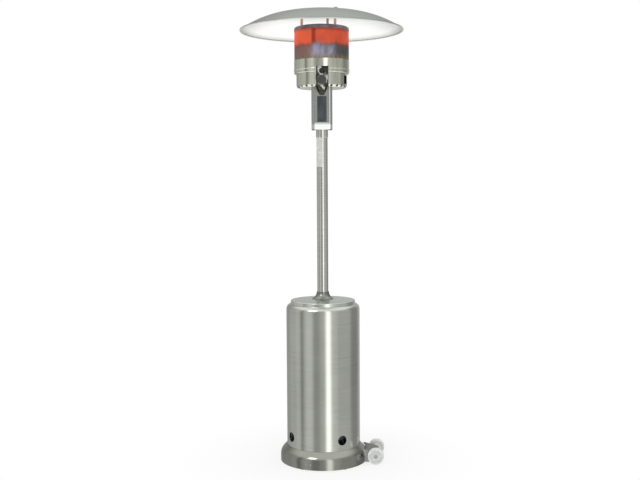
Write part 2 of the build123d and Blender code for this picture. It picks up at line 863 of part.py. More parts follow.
# Bracket: a plate round the skirt and two ears that carry the axle
with BuildPart() as wheel_bracket:
    with BuildSketch(kit_plane.offset(foot_height + 3.0)):
        with BuildLine():
            outer = CenterArc((0, 0), base_radius + ear_thickness, -plate_turn, 2 * plate_turn)
            inner = CenterArc((0, 0), base_radius, -plate_turn, 2 * plate_turn)
            Line(outer @ 0, inner @ 0)
            Line(outer @ 1, inner @ 1)
        make_face()
    extrude(amount=skirt_height - 5.0)
    for ear_side in (-1, 1):
        ear_middle = ear_side * (ear_offset + ear_thickness / 2)
        ear_plane = Plane(
            origin=kit_plane.from_local_coords((0, ear_middle, 0)),
            x_dir=kit_plane.x_dir,
            z_dir=kit_plane.y_dir * -1,
        )
        with BuildSketch(ear_plane):
            with BuildLine():
                Polyline(
                    (ear_root, foot_height + 3.0),
                    (ear_root, skirt_top),
                    (ear_root - 5.0, skirt_top + 24.0),
                    (ear_root - 13.0, skirt_top + 36.0),
                    (ear_root - 4.0, skirt_top + 37.0),
                    (wheel_reach, axle_height + ear_end_radius),
                    (wheel_reach, axle_height - ear_end_radius),
                    (ear_root + 20.0, foot_height + 3.0),
                    close=True,
                )
            make_face()
            with Locations((wheel_reach, axle_height)):
                Circle(ear_end_radius)
        extrude(amount=ear_thickness / 2, both=True)
    with BuildSketch(axle_plane):
        Circle(axle_radius)
    extrude(amount=ear_offset * 2, both=True, mode=Mode.SUBTRACT)
    for bolt_turn in bracket_bolt_turns:
        with BuildSketch(radial_plane(wheel_angle + bolt_turn, bracket_bolt_height)):
            Circle(bracket_bolt_radius * 0.5 + bolt_clearance)
        extrude(amount=base_radius + 2 * ear_thickness, mode=Mode.SUBTRACT)
save(wheel_bracket.part, "wheel_bracket")

# Axle
with BuildPart() as wheel_axle:
    with BuildSketch(axle_plane):
        Circle(axle_radius)
    extrude(amount=axle_half_length, both=True)
save(wheel_axle.part, "wheel_axle")

# Caps on both ends of the axle
with BuildPart() as axle_caps:
    for cap_side in (-1, 1):
        with BuildSketch(axle_plane.offset(cap_side * axle_half_length)):
            Circle(axle_cap_radius)
            Circle(axle_radius, mode=Mode.SUBTRACT)
        extrude(amount=-cap_side * axle_cap_length)
save(axle_caps.part, "axle_caps")

# Bolts that hold the bracket to the skirt
with BuildPart() as bracket_bolts:
    for bolt_turn in bracket_bolt_turns:
        bolt_seat = base_radius + ear_thickness
        with Locations(radial_plane(wheel_angle + bolt_turn, bracket_bolt_height, bolt_seat)):
            add(pan_head_screw(bracket_bolt_radius, ear_thickness + base_sheet + 4.0))
save(bracket_bolts.part, "bracket_bolts")

# Two wheels: hub, web and tyre rim in one moulding
for wheel_side, wheel_name in ((-1, "wheel_near"), (1, "wheel_far")):
    wheel_plane = Plane(
        origin=axle_plane.from_local_coords((0, 0, wheel_side * wheel_inner_face)),
        x_dir=kit_plane.x_dir,
        z_dir=kit_plane.y_dir * wheel_side,
    )
    hub_length = wheel_outer_face - wheel_inner_face
    rim_start = hub_length - wheel_width
    with BuildPart() as wheel:
        with BuildSketch(wheel_plane):
            Circle(hub_radius)
        extrude(amount=hub_length)
        with BuildSketch(wheel_plane.offset(rim_start)):
            Circle(wheel_radius)
        extrude(amount=wheel_width)
        fillet(wheel.edges().filter_by(GeomType.CIRCLE).sort_by(SortBy.RADIUS)[-2:], 4.0)
        with BuildSketch(wheel_plane.offset(hub_length)):
            Circle(wheel_radius - wheel_rim)
            Circle(hub_radius, mode=Mode.SUBTRACT)
        extrude(amount=-wheel_dish, mode=Mode.SUBTRACT)
        with BuildSketch(wheel_plane.offset(rim_start)):
            Circle(wheel_radius - wheel_rim)
            Circle(hub_radius, mode=Mode.SUBTRACT)
        extrude(amount=wheel_dish, mode=Mode.SUBTRACT)
        with BuildSketch(wheel_plane):
            Circle(axle_radius + running_clearance)
        extrude(amount=hub_length, mode=Mode.SUBTRACT)
    save(wheel.part, wheel_name)

# Control housing: front and sides in one sheet, with a slanted chin
with BuildPart() as control_housing:
    with BuildSketch(Plane.XY.offset(housing_bottom)):
        RectangleRounded(housing_width, housing_depth, housing_corner)
    extrude(amount=housing_height)
    with BuildSketch(Plane.XY.offset(housing_bottom)):
        RectangleRounded(
            housing_width - 2 * housing_sheet,
            housing_depth - 2 * housing_sheet,
            housing_corner - housing_sheet,
        )
    extrude(amount=housing_height, mode=Mode.SUBTRACT)
    with BuildSketch(Plane.XY.offset(housing_bottom)):
        with Locations((0, cover_split)):
            Rectangle(housing_width, housing_depth, align=(Align.CENTER, Align.MIN))
    extrude(amount=housing_height, mode=Mode.SUBTRACT)
    with BuildSketch(Plane.YZ):
        with BuildLine():
            Polyline(
                (-housing_front, housing_bottom),
                (-housing_front, housing_bottom + chin_height),
                (-housing_front + chin_depth, housing_bottom),
                close=True,
            )
        make_face()
    extrude(amount=housing_width / 2 - housing_corner, both=True, mode=Mode.SUBTRACT)
    with BuildSketch(Plane.YZ):
        with BuildLine():
            Line(
                (-housing_front, housing_bottom + chin_height),
                (-housing_front + chin_depth, housing_bottom),
            )
            offset(amount=housing_sheet, side=Side.LEFT)
        make_face()
    extrude(amount=housing_width / 2 - housing_corner, both=True)
save(control_housing.part, "control_housing")

# Back cover of the housing
with BuildPart() as back_cover:
    with BuildSketch(Plane.XY.offset(housing_bottom)):
        RectangleRounded(housing_width, housing_depth, housing_corner)
    extrude(amount=housing_height)
    with BuildSketch(Plane.XY.offset(housing_bottom)):
        RectangleRounded(
            housing_width - 2 * housing_sheet,
            housing_depth - 2 * housing_sheet,
            housing_corner - housing_sheet,
        )
    extrude(amount=housing_height, mode=Mode.SUBTRACT)
    with BuildSketch(Plane.XY.offset(housing_bottom)):
        with Locations((0, cover_split)):
            Rectangle(housing_width, 2 * housing_depth, align=(Align.CENTER, Align.MAX))
    extrude(amount=housing_height, mode=Mode.SUBTRACT)
    for screw_x, screw_z in back_screw_places:
        with BuildSketch(Plane.XZ.offset(-housing_front)):
            with Locations((screw_x, screw_z)):
                Circle(back_screw_radius * 0.5 + bolt_clearance)
        extrude(amount=housing_sheet * 2, both=True, mode=Mode.SUBTRACT)
    for slot_row in range(back_slot_count):
        with BuildSketch(Plane.XZ.offset(-housing_front)):
            with Locations((0, housing_top - 30.0 - slot_row * back_slot_pitch)):
                SlotOverall(back_slot_width, back_slot_height)
        extrude(amount=housing_sheet * 2, both=True, mode=Mode.SUBTRACT)
save(back_cover.part, "back_cover")

# Small screws: two on the front of the skirt and four on the back cover
with BuildPart() as case_screws:
    for screw_angle in skirt_screw_angles:
        with Locations(radial_plane(screw_angle, skirt_screw_height, base_radius)):
            add(pan_head_screw(skirt_screw_radius, base_sheet + 4.0))
    for screw_x, screw_z in back_screw_places:
        with Locations(Plane((screw_x, housing_front, screw_z), z_dir=(0, 1, 0))):
            add(pan_head_screw(back_screw_radius, housing_sheet + bracket_sheet + 3.0))
save(case_screws.part, "case_screws")

# Blank label plate on the housing's front
with BuildPart() as label_plate:
    with BuildSketch(Plane.XZ.offset(housing_front)):
        with Locations((0, housing_bottom + label_rise + label_height / 2)):
            RectangleRounded(label_width, label_height, 3.0)
    extrude(amount=label_thickness)
save(label_plate.part, "label_plate")

# Head bracket: foot on the pole, upright along the back cover and shelf for the burner cup
with BuildPart() as head_bracket:
    with BuildSketch(Plane.YZ):
        with BuildLine():
            Polyline(
                (-bracket_foot_reach, bracket_bottom),
                (bracket_back, bracket_bottom),
                (bracket_back, cup_bottom),
                (-shelf_reach, cup_bottom),
            )
            offset(amount=bracket_sheet, side=Side.LEFT)
        make_face()
    extrude(amount=bracket_width / 2, both=True)
    with BuildSketch(Plane.XY.offset(bracket_bottom)):
        Circle(spigot_radius)
    extrude(amount=-spigot_length)
    with BuildSketch(Plane.XY.offset(bracket_bottom - spigot_length)):
        Circle(spigot_radius - spigot_wall)
    extrude(amount=spigot_length + bracket_sheet, mode=Mode.SUBTRACT)
    with BuildSketch(Plane.XY.offset(cup_bottom)):
        Circle(shelf_hole_radius)
    extrude(amount=-bracket_sheet, mode=Mode.SUBTRACT)
    for screw_x, screw_z in back_screw_places:
        with BuildSketch(Plane.XZ.offset(-bracket_back)):
            with Locations((screw_x, screw_z)):
                Circle(back_screw_radius * 0.5 + bolt_clearance)
        extrude(amount=bracket_sheet * 2, both=True, mode=Mode.SUBTRACT)
save(head_bracket.part, "head_bracket")

# Feed pipe with a nut at each end, from the hose to the gas valve
with BuildPart() as feed_pipe:
    with BuildSketch(Plane.XY.offset(union_bottom)):
        Circle(pipe_radius)
    extrude(amount=valve_floor - union_bottom)
    with BuildSketch(Plane.XY.offset(union_bottom)):
        RegularPolygon(pipe_nut_radius, 6)
    extrude(amount=pipe_nut_length)
    with BuildSketch(Plane.XY.offset(valve_floor)):
        RegularPolygon(pipe_nut_radius, 6)
    extrude(amount=-pipe_nut_length)
    with BuildSketch(Plane.XY.offset(union_bottom)):
        Circle(pipe_radius - pipe_wall)
    extrude(amount=valve_floor - union_bottom, mode=Mode.SUBTRACT)
save(feed_pipe.part, "feed_pipe")

# Tilt switch: a hollow box on the bracket's upright, with a pin across it
tilt_front = bracket_back - bracket_sheet - tilt_box_depth
tilt_middle = tilt_front + tilt_box_depth / 2
tilt_bottom = housing_bottom + tilt_rise
tilt_pin_height = tilt_bottom + tilt_box_height - tilt_wall - tilt_pin_drop
with BuildPart() as tilt_switch:
    with BuildSketch(Plane.XY.offset(tilt_bottom)):
        with Locations((0, tilt_middle)):
            Rectangle(tilt_box_width, tilt_box_depth)
    extrude(amount=tilt_box_height)
    with BuildSketch(Plane.XY.offset(tilt_bottom + tilt_wall)):
        with Locations((0, tilt_middle)):
            Rectangle(tilt_box_width - 2 * tilt_wall, tilt_box_depth - 2 * tilt_wall)
    extrude(amount=tilt_box_height - 2 * tilt_wall, mode=Mode.SUBTRACT)
    with BuildSketch(Plane.YZ):
        with Locations((tilt_middle, tilt_pin_height)):
            Circle(tilt_pin_radius)
    extrude(amount=tilt_box_width / 2 - tilt_wall / 2, both=True)
save(tilt_switch.part, "tilt_switch")

# Pendulum of the tilt switch, hanging on the pin
with BuildPart() as tilt_pendulum:
    with BuildSketch(Plane.YZ):
        with Locations((tilt_middle, tilt_pin_height)):
            Circle(tilt_pin_radius + 2.0)
        with Locations((tilt_middle, tilt_pin_height - tilt_arm)):
            Circle(tilt_bob_radius)
        with Locations((tilt_middle, tilt_pin_height - tilt_arm / 2)):
            Rectangle(2.5, tilt_arm)
        with Locations((tilt_middle, tilt_pin_height)):
            Circle(tilt_pin_radius + running_clearance, mode=Mode.SUBTRACT)
    extrude(amount=5.0, both=True)
save(tilt_pendulum.part, "tilt_pendulum")

# Control recess: a channel let into the front of the cup and band, with a spout below
with BuildPart() as control_recess:
    for level, top, front in (
        (recess_knee, cup_top, cheek_front_cup),
        (cup_top, recess_top, cheek_front_band),
    ):
        with BuildSketch(Plane.XY.offset(level)):
            with Locations((0, -recess_wall_back)):
                Rectangle(recess_outer_width, front - recess_wall_back, align=RECESS_ALIGN)
        extrude(amount=top - level)
    with BuildSketch(Plane.XY.offset(recess_knee)):
        with Locations((0, -recess_wall_back)):
            Rectangle(recess_outer_width, cheek_front_cup - recess_wall_back, align=RECESS_ALIGN)
    with BuildSketch(Plane.XY.offset(spout_bottom)):
        with Locations((0, -housing_front)):
            Rectangle(spout_width + 2 * recess_sheet, spout_depth, align=RECESS_ALIGN)
    loft(ruled=True)
    with BuildSketch(Plane.XY.offset(recess_knee)):
        with Locations((0, -recess_back)):
            Rectangle(recess_width, recess_depth * 2, align=RECESS_ALIGN)
    extrude(amount=recess_top - recess_sheet - recess_knee, mode=Mode.SUBTRACT)
    with BuildSketch(Plane.XY.offset(recess_knee)):
        with Locations((0, -recess_back)):
            Rectangle(recess_width, recess_depth * 2, align=RECESS_ALIGN)
    with BuildSketch(Plane.XY.offset(spout_bottom)):
        with Locations((0, -housing_front - recess_sheet)):
            Rectangle(spout_width, recess_depth, align=RECESS_ALIGN)
    loft(ruled=True, mode=Mode.SUBTRACT)
    with BuildSketch(Plane.XZ.offset(recess_wall_back)):
        with Locations((0, knob_height)):
            Circle(stem_radius + 1.0)
        with Locations((0, button_height)):
            Circle(igniter_radius + bolt_clearance)
    extrude(amount=2 * recess_sheet, both=True, mode=Mode.SUBTRACT)
save(control_recess.part, "control_recess")

# Gas valve: front boss, barrel, block on the axis, inlet below, jet above and magnet case behind
with BuildPart() as gas_valve:
    with BuildSketch(Plane.XZ.offset(valve_block_front)):
        with Locations((0, knob_height)):
            Circle(valve_barrel_radius)
    extrude(amount=recess_wall_back - 4.0 - valve_block_front)
    with BuildSketch(Plane.XZ.offset(valve_block_front)):
        with Locations((0, knob_height)):
            Circle(valve_boss_radius)
    extrude(amount=recess_wall_back - valve_block_front)
    with BuildSketch(Plane.XY.offset(knob_height - valve_block_size / 2)):
        Rectangle(valve_block_size, 2 * valve_block_front)
    extrude(amount=valve_block_size)
    with BuildSketch(Plane.XY.offset(valve_floor)):
        Circle(valve_port_radius)
    extrude(amount=knob_height - valve_floor)
    with BuildSketch(Plane.XY.offset(knob_height)):
        Circle(jet_radius)
    extrude(amount=jet_top - knob_height - 8.0)
    with BuildSketch(Plane.XY.offset(jet_top - 8.0)):
        Circle(jet_radius)
    extrude(amount=8.0, taper=30)
    with BuildSketch(Plane.XZ.offset(-valve_block_front)):
        with Locations((0, knob_height)):
            Circle(magnet_radius)
    extrude(amount=-magnet_length)
    with BuildSketch(Plane.XZ.offset(recess_wall_back)):
        with Locations((0, knob_height)):
            Circle(stem_radius + running_clearance)
    extrude(amount=-stem_grip, mode=Mode.SUBTRACT)
    with BuildSketch(Plane.XY.offset(valve_floor)):
        Circle(2.0)
    extrude(amount=jet_top - valve_floor, mode=Mode.SUBTRACT)
save(gas_valve.part, "gas_valve")

# Stem of the gas valve, flattened where the knob sits
with BuildPart() as valve_stem:
    with BuildSketch(Plane.XZ.offset(recess_wall_back - stem_grip + seat_gap)):
        with Locations((0, knob_height)):
            Circle(stem_radius)
    extrude(amount=stem_front - recess_wall_back + stem_grip - seat_gap)
    with BuildSketch(Plane.XZ.offset(knob_back - knob_travel - seat_gap)):
        with Locations((0, knob_height + stem_flat)):
            Rectangle(3 * stem_radius, 2 * stem_radius, align=(Align.CENTER, Align.MIN))
    extrude(amount=knob_length + knob_travel, mode=Mode.SUBTRACT)
save(valve_stem.part, "valve_stem")

# Control knob: fluted grip with a raised pointer and a bore for the flattened stem
with BuildPart() as control_knob:
    with BuildSketch(Plane.XZ.offset(knob_back)):
        with Locations((0, knob_height)):
            Circle(knob_radius)
    extrude(amount=knob_length)
    fillet(control_knob.edges().group_by(Axis.Y)[0], knob_edge_radius)
    with BuildSketch(Plane.XZ.offset(knob_back + knob_skirt)):
        with Locations((0, knob_height)):
            with PolarLocations(knob_radius + flute_offset, knob_flutes):
                Circle(flute_radius)
    extrude(amount=knob_length, mode=Mode.SUBTRACT)
    with BuildSketch(Plane.XZ.offset(knob_back + knob_length - pointer_sink)):
        with Locations((0, knob_height + knob_radius * 0.35)):
            Rectangle(pointer_width, knob_radius * 1.1)
    extrude(amount=knob_pointer + pointer_sink)
    with BuildSketch(Plane.XZ.offset(knob_back)):
        with Locations((0, knob_height)):
            Circle(stem_radius + running_clearance)
        with Locations((0, knob_height + stem_flat + running_clearance)):
            Rectangle(
                3 * stem_radius,
                2 * stem_radius,
                align=(Align.CENTER, Align.MIN),
                mode=Mode.SUBTRACT,
            )
    extrude(amount=stem_front - knob_back + knob_travel + knob_bore_spare, mode=Mode.SUBTRACT)
save(control_knob.part, "control_knob")

# Piezo igniter: barrel behind the recess wall, bezel in front of it
with BuildPart() as igniter_body:
    with BuildSketch(Plane.XZ.offset(recess_back)):
        with Locations((0, button_height)):
            Circle(bezel_radius)
    extrude(amount=bezel_height)
    chamfer(igniter_body.edges().group_by(Axis.Y)[0], 1.0)
    with BuildSketch(Plane.XZ.offset(recess_back)):
        with Locations((0, button_height)):
            Circle(igniter_radius)
    extrude(amount=-igniter_length)
    with BuildSketch(Plane.XZ.offset(recess_back + bezel_height)):
        with Locations((0, button_height)):
            Circle(button_radius + running_clearance)
    extrude(amount=-bezel_height - button_socket, mode=Mode.SUBTRACT)
save(igniter_body.part, "igniter_body")

# Push button of the igniter
with BuildPart() as igniter_button:
    with BuildSketch(Plane.XZ.offset(recess_back + bezel_height + button_length)):
        with Locations((0, button_height)):
            Circle(button_radius)
    extrude(amount=-(bezel_height + button_length + button_socket - button_travel - 1.0))
    fillet(igniter_button.edges().group_by(Axis.Y)[0], 2.0)
save(igniter_button.part, "igniter_button")

# Burner cup: floor, rounded corner, wall and outward flange, with slots, lighting port and notch
with BuildPart() as burner_cup:
    with BuildSketch(Plane.XZ):
        with BuildLine():
            floor = Line((shelf_hole_radius, cup_bottom), (cup_radius - cup_corner, cup_bottom))
            corner = TangentArc(
                floor @ 1, (cup_radius, cup_bottom + cup_corner), tangent=(1, 0)
            )
            wall = Line(corner @ 1, (cup_radius, cup_top - cup_sheet))
            Line(wall @ 1, (cup_radius + cup_flange, cup_top - cup_sheet))
            offset(amount=cup_sheet, side=Side.LEFT)
        make_face()
    revolve(axis=Axis.Z)
    with BuildSketch(Plane.XY.offset(cup_bottom - cup_sheet)):
        with Locations((0, -notch_back)):
            Rectangle(notch_width, 2 * cup_radius, align=RECESS_ALIGN)
    extrude(amount=cup_height + 2 * cup_sheet, mode=Mode.SUBTRACT)
    with BuildSketch(radial_plane(port_angle, cup_bottom + port_rise + port_height / 2)):
        RectangleRounded(port_height, port_width, 3.0)
    extrude(amount=2 * cup_radius, mode=Mode.SUBTRACT)
    for slot_index in range(slot_count):
        slot_angle = -90.0 + (slot_index + 0.5) * 360.0 / slot_count
        with BuildSketch(radial_plane(slot_angle, cup_bottom + slot_rise, cup_radius - cup_corner)):
            SlotOverall(slot_height, slot_width)
        extrude(amount=2 * cup_corner, mode=Mode.SUBTRACT)
save(burner_cup.part, "burner_cup")

# Polished band with a rolled bead, standing on the cup's flange
with BuildPart() as burner_band:
    with BuildSketch(Plane.XZ):
        with BuildLine():
            foot = Line((cup_radius + 1.5, band_bottom), (band_radius - 4.0, band_bottom))
            corner = TangentArc(foot @ 1, (band_radius, band_bottom + 4.0), tangent=(1, 0))
            below = Line(corner @ 1, (band_radius, band_bottom + bead_rise - bead_radius))
            bead = ThreePointArc(
                below @ 1,
                (band_radius + bead_radius, band_bottom + bead_rise),
                (band_radius, band_bottom + bead_rise + bead_radius),
            )
            Line(bead @ 1, (band_radius, band_top))
            offset(amount=band_sheet, side=Side.LEFT)
        make_face()
    revolve(axis=Axis.Z)
    with BuildSketch(Plane.XY.offset(band_bottom - band_sheet)):
        with Locations((0, -notch_back)):
            Rectangle(notch_width, 2 * band_radius, align=RECESS_ALIGN)
    extrude(amount=recess_top - band_bottom + 2 * notch_clearance, mode=Mode.SUBTRACT)
save(burner_band.part, "burner_band")

# Burner deck: disc with a skirt inside the band, a hole for the venturi and air slots
with BuildPart() as burner_deck:
    with BuildSketch(Plane.XY.offset(deck_top_height - deck_skirt)):
        Circle(screen_radius)
    extrude(amount=deck_skirt)
    fillet(burner_deck.edges().group_by(Axis.Z)[-1], 2.0)
    with BuildSketch(Plane.XY.offset(deck_top_height - deck_skirt)):
        Circle(screen_radius - deck_sheet)
    extrude(amount=deck_skirt - deck_sheet, mode=Mode.SUBTRACT)
    with BuildSketch(Plane.XY.offset(deck_top_height)):
        Circle(venturi_radius + venturi_wall + bolt_clearance)
        with PolarLocations(108.0, deck_slot_count, 15.0):
            SlotOverall(30.0, 6.0, rotation=90)
    extrude(amount=-2 * deck_sheet, mode=Mode.SUBTRACT)
save(burner_deck.part, "burner_deck")

# Venturi: bell mouth over the jet, throat and flange on the deck
with BuildPart() as venturi:
    with BuildSketch(Plane.XZ):
        with BuildLine():
            mouth = Line((venturi_mouth_radius, jet_top), (venturi_mouth_radius, jet_top + 3.0))
            bell = Line(mouth @ 1, (venturi_radius, jet_top + 24.0))
            throat = Line(bell @ 1, (venturi_radius, venturi_top))
            offset(amount=venturi_wall, side=Side.RIGHT)
        make_face()
    revolve(axis=Axis.Z)
    with BuildSketch(Plane.XY.offset(deck_top_height)):
        Circle(venturi_radius + 12.0)
        Circle(venturi_radius, mode=Mode.SUBTRACT)
    extrude(amount=deck_sheet * 2)
save(venturi.part, "venturi")

# Burner head: round pan with a ring of ports
with BuildPart() as burner_head:
    with BuildSketch(Plane.XY.offset(venturi_top)):
        Circle(burner_head_radius)
    extrude(amount=burner_head_height)
    fillet(burner_head.edges().group_by(Axis.Z)[-1], burner_head_wall * 1.5)
    with BuildSketch(Plane.XY.offset(venturi_top + burner_head_wall)):
        Circle(burner_head_radius - burner_head_wall)
    extrude(amount=burner_head_height - 2 * burner_head_wall, mode=Mode.SUBTRACT)
    with BuildSketch(Plane.XY.offset(venturi_top)):
        Circle(venturi_radius - 2.0)
    extrude(amount=burner_head_wall, mode=Mode.SUBTRACT)
    for port_index in range(burner_port_count):
        head_port_angle = port_index * 360.0 / burner_port_count
        with BuildSketch(radial_plane(head_port_angle, venturi_top + burner_head_height * 0.4)):
            Circle(3.0)
        extrude(amount=burner_head_radius + 2.0, mode=Mode.SUBTRACT)
save(burner_head.part, "burner_head")

# Pilot burner: foot on the deck, upright tube and hood
with BuildPart() as pilot_burner:
    with BuildSketch(Plane.XY.offset(deck_top_height)):
        with Locations(pilot_place):
            RectangleRounded(36.0, 16.0, 3.0)
    extrude(amount=2.0)
    with BuildSketch(Plane.XY.offset(deck_top_height + 2.0)):
        with Locations(pilot_place):
            Circle(4.0)
    extrude(amount=22.0)
    with BuildSketch(Plane.XY.offset(deck_top_height + 24.0)):
        with Locations(pilot_place):
            Circle(6.0)
    extrude(amount=10.0)
save(pilot_burner.part, "pilot_burner")

# Thermocouple and electrode beside the pilot flame
with BuildPart() as thermocouple:
    with BuildSketch(Plane.XY.offset(deck_top_height + 2.0)):
        with Locations((pilot_x - 12.0, pilot_y)):
            Circle(2.5)
    extrude(amount=40.0)
    fillet(thermocouple.edges().group_by(Axis.Z)[-1], 1.2)
save(thermocouple.part, "thermocouple")

with BuildPart() as igniter_electrode:
    with BuildSketch(Plane.XY.offset(deck_top_height + 2.0)):
        with Locations((pilot_x + 12.0, pilot_y)):
            Circle(3.5)
    extrude(amount=24.0)
    with BuildSketch(Plane.XY.offset(deck_top_height + 26.0)):
        with Locations((pilot_x + 12.0, pilot_y)):
            Circle(1.2)
    extrude(amount=14.0)
save(igniter_electrode.part, "igniter_electrode")

# Emitter screen: a sheet ring with its edges lapped at a seam
with BuildPart() as emitter_screen:
    with BuildSketch(Plane.XY.offset(deck_top_height)):
        Circle(screen_radius)
        Circle(screen_radius - screen_sheet, mode=Mode.SUBTRACT)
        with PolarLocations(screen_radius - screen_sheet - lap_thickness / 2, 1, seam_lap_angle):
            Rectangle(lap_thickness, lap_width)
    extrude(amount=screen_height)
save(emitter_screen.part, "emitter_screen")

# Top cap of the emitter: overlap, rounded shoulder and flat plate with stud holes
with BuildPart() as burner_top_cap:
    with BuildSketch(Plane.XZ):
        with BuildLine():
            wall = Line((band_radius, cap_shoulder - cap_overlap), (band_radius, cap_shoulder))
            shoulder = TangentArc(wall @ 1, (band_radius - cap_corner, cap_top), tangent=(0, 1))
            Line(shoulder @ 1, (0, cap_top))
            offset(amount=cap_sheet, side=Side.LEFT)
        make_face()
    revolve(axis=Axis.Z)
    with BuildSketch(Plane.XY.offset(cap_top)):
        with PolarLocations(stud_circle_radius, stud_count, stud_first_angle):
            Circle(stud_radius + bolt_clearance)
    extrude(amount=-2 * cap_sheet, mode=Mode.SUBTRACT)
save(burner_top_cap.part, "burner_top_cap")

# Studs from the cap to the reflector
with BuildPart() as reflector_studs:
    with BuildSketch(Plane.XY.offset(cap_top - cap_sheet - stud_tail)):
        with PolarLocations(stud_circle_radius, stud_count, stud_first_angle):
            Circle(stud_radius)
    extrude(amount=stud_top - cap_top + cap_sheet + stud_tail)
save(reflector_studs.part, "reflector_studs")

# Spacer sleeves round the studs
with BuildPart() as stud_spacers:
    with BuildSketch(Plane.XY.offset(cap_top)):
        with PolarLocations(stud_circle_radius, stud_count, stud_first_angle):
            Circle(spacer_radius)
            Circle(stud_radius, mode=Mode.SUBTRACT)
    extrude(amount=reflector_flat_bottom - cap_top)
save(stud_spacers.part, "stud_spacers")

# Nuts under the cap
with BuildPart() as stud_nuts:
    with BuildSketch(Plane.XY.offset(cap_top - cap_sheet)):
        with PolarLocations(stud_circle_radius, stud_count, stud_first_angle):
            RegularPolygon(nut_across, 6, major_radius=False)
            Circle(stud_radius, mode=Mode.SUBTRACT)
    extrude(amount=-nut_thickness)
save(stud_nuts.part, "stud_nuts")

# Wing nuts on top of the reflector
with BuildPart() as wing_nuts:
    with BuildSketch(Plane.XY.offset(reflector_flat_top)):
        with PolarLocations(stud_circle_radius, stud_count, stud_first_angle):
            Circle(7.5)
            Circle(stud_radius, mode=Mode.SUBTRACT)
    extrude(amount=7.0)
    for stud_index in range(stud_count):
        stud_angle = stud_first_angle + stud_index * 360.0 / stud_count
        wing_plane = side_plane(stud_angle)
        with BuildSketch(wing_plane):
            for wing_side in (-1, 1):
                wing_reach = stud_circle_radius + wing_side * 12.0
                with Locations((wing_reach, reflector_flat_top + 10.0)):
                    Circle(5.5)
                wing_root = stud_circle_radius + wing_side * 7.0
                with Locations((wing_root, reflector_flat_top + 4.5)):
                    Rectangle(4.0, 7.0)
        extrude(amount=1.5, both=True)
save(wing_nuts.part, "wing_nuts")

# Reflector: flat seat, bowed sheet and rolled edge
rim_reach = reflector_radius - reflector_bead_radius
rim_height = reflector_flat_top - reflector_rise
with BuildPart() as reflector:
    with BuildSketch(Plane.XZ):
        with BuildLine():
            seat = Line((0, reflector_flat_top), (reflector_flat_radius, reflector_flat_top))
            TangentArc(seat @ 1, (rim_reach, rim_height), tangent=(1, 0))
            offset(amount=reflector_sheet, side=Side.RIGHT)
        make_face()
        with Locations((rim_reach, rim_height)):
            Circle(reflector_bead_radius)
    revolve(axis=Axis.Z)
    with BuildSketch(Plane.XY.offset(reflector_flat_top)):
        with PolarLocations(stud_circle_radius, stud_count, stud_first_angle):
            Circle(stud_radius + bolt_clearance)
    extrude(amount=-2 * reflector_sheet, mode=Mode.SUBTRACT)
save(reflector.part, "reflector")
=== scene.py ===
# %% [markdown]
# # Mushroom patio heater
# The CAD model gives every piece its place and its size. This script gives the pieces their
# finish, models the parts whose surface needs more than a plain sheet, and sets up the camera,
# the floor and the light.

# %% Load the frame
import math

import bmesh
import bpy
from mathutils import Matrix, Vector


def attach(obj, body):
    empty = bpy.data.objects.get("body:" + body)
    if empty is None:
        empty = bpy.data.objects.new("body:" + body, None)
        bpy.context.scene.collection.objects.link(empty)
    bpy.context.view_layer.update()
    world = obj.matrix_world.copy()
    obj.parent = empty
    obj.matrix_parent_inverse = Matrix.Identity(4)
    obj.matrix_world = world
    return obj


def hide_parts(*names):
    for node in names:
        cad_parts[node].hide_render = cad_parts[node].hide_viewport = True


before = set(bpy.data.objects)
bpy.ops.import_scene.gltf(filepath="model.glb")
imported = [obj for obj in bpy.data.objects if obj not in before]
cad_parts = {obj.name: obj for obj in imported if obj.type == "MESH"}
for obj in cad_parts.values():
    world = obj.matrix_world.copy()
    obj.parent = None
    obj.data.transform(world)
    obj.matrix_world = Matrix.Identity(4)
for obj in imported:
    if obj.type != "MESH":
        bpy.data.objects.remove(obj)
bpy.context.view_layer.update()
print("nodes loaded:", len(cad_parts))

# %% [markdown]
# ## Camera
# The picture is a long shot from about chest height. A camera could be placed by eye, but the
# circles of the base, cover and reflector give its lens, distance and height by measure. The
# pole stands a little right of the middle and leans a little, so the camera is panned and rolled.


# %% Camera
def linked(name, data):
    """A new object of the scene that shows a mesh, a camera or a lamp."""
    thing = bpy.data.objects.new(name, data)
    bpy.context.collection.objects.link(thing)
    return thing


photo_width = 640
focal_pixels = 951.3
camera_distance = 4.787
camera_height = 1.446
camera_tilt = math.radians(3.876)
camera_pan = math.radians(0.157)
camera_roll = math.radians(-0.32)

camera_data = bpy.data.cameras.new("camera")
camera_data.sensor_width = 36.0
camera_data.lens = focal_pixels * camera_data.sensor_width / photo_width
camera = linked("camera", camera_data)
turn = Matrix.Rotation(camera_pan, 4, "Z") @ Matrix.Rotation(math.pi / 2 - camera_tilt, 4, "X")
turn = turn @ Matrix.Rotation(camera_roll, 4, "Z")
camera.matrix_world = Matrix.Translation((0.0, -camera_distance, camera_height)) @ turn
bpy.context.scene.camera = camera
print("camera lens", round(camera_data.lens, 2), "mm")

# %% [markdown]
# ## Shader sums
# A pattern on steel is a sum of noises and ramps. Wired by hand it fills a screen with nodes. A
# small class wraps a socket instead, so that the same pattern reads as ordinary arithmetic.


# %% Values
def feed(tree, socket, item):
    """Link a value or a socket to a socket, or write a number or a colour into it."""
    if isinstance(item, Value):
        item = item.socket
    if isinstance(item, bpy.types.NodeSocket):
        tree.links.new(item, socket)
    elif socket.type == "RGBA":
        socket.default_value = (*item, 1.0)
    else:
        socket.default_value = item


def add_node(tree, kind, settings=None, inputs=None):
    """Add a node, make its settings, then feed its inputs, which go by name or number."""
    node = tree.nodes.new(kind)
    for name, setting in (settings or {}).items():
        setattr(node, name, setting)
    for name, item in (inputs or {}).items():
        feed(tree, node.inputs[name], item)
    return node


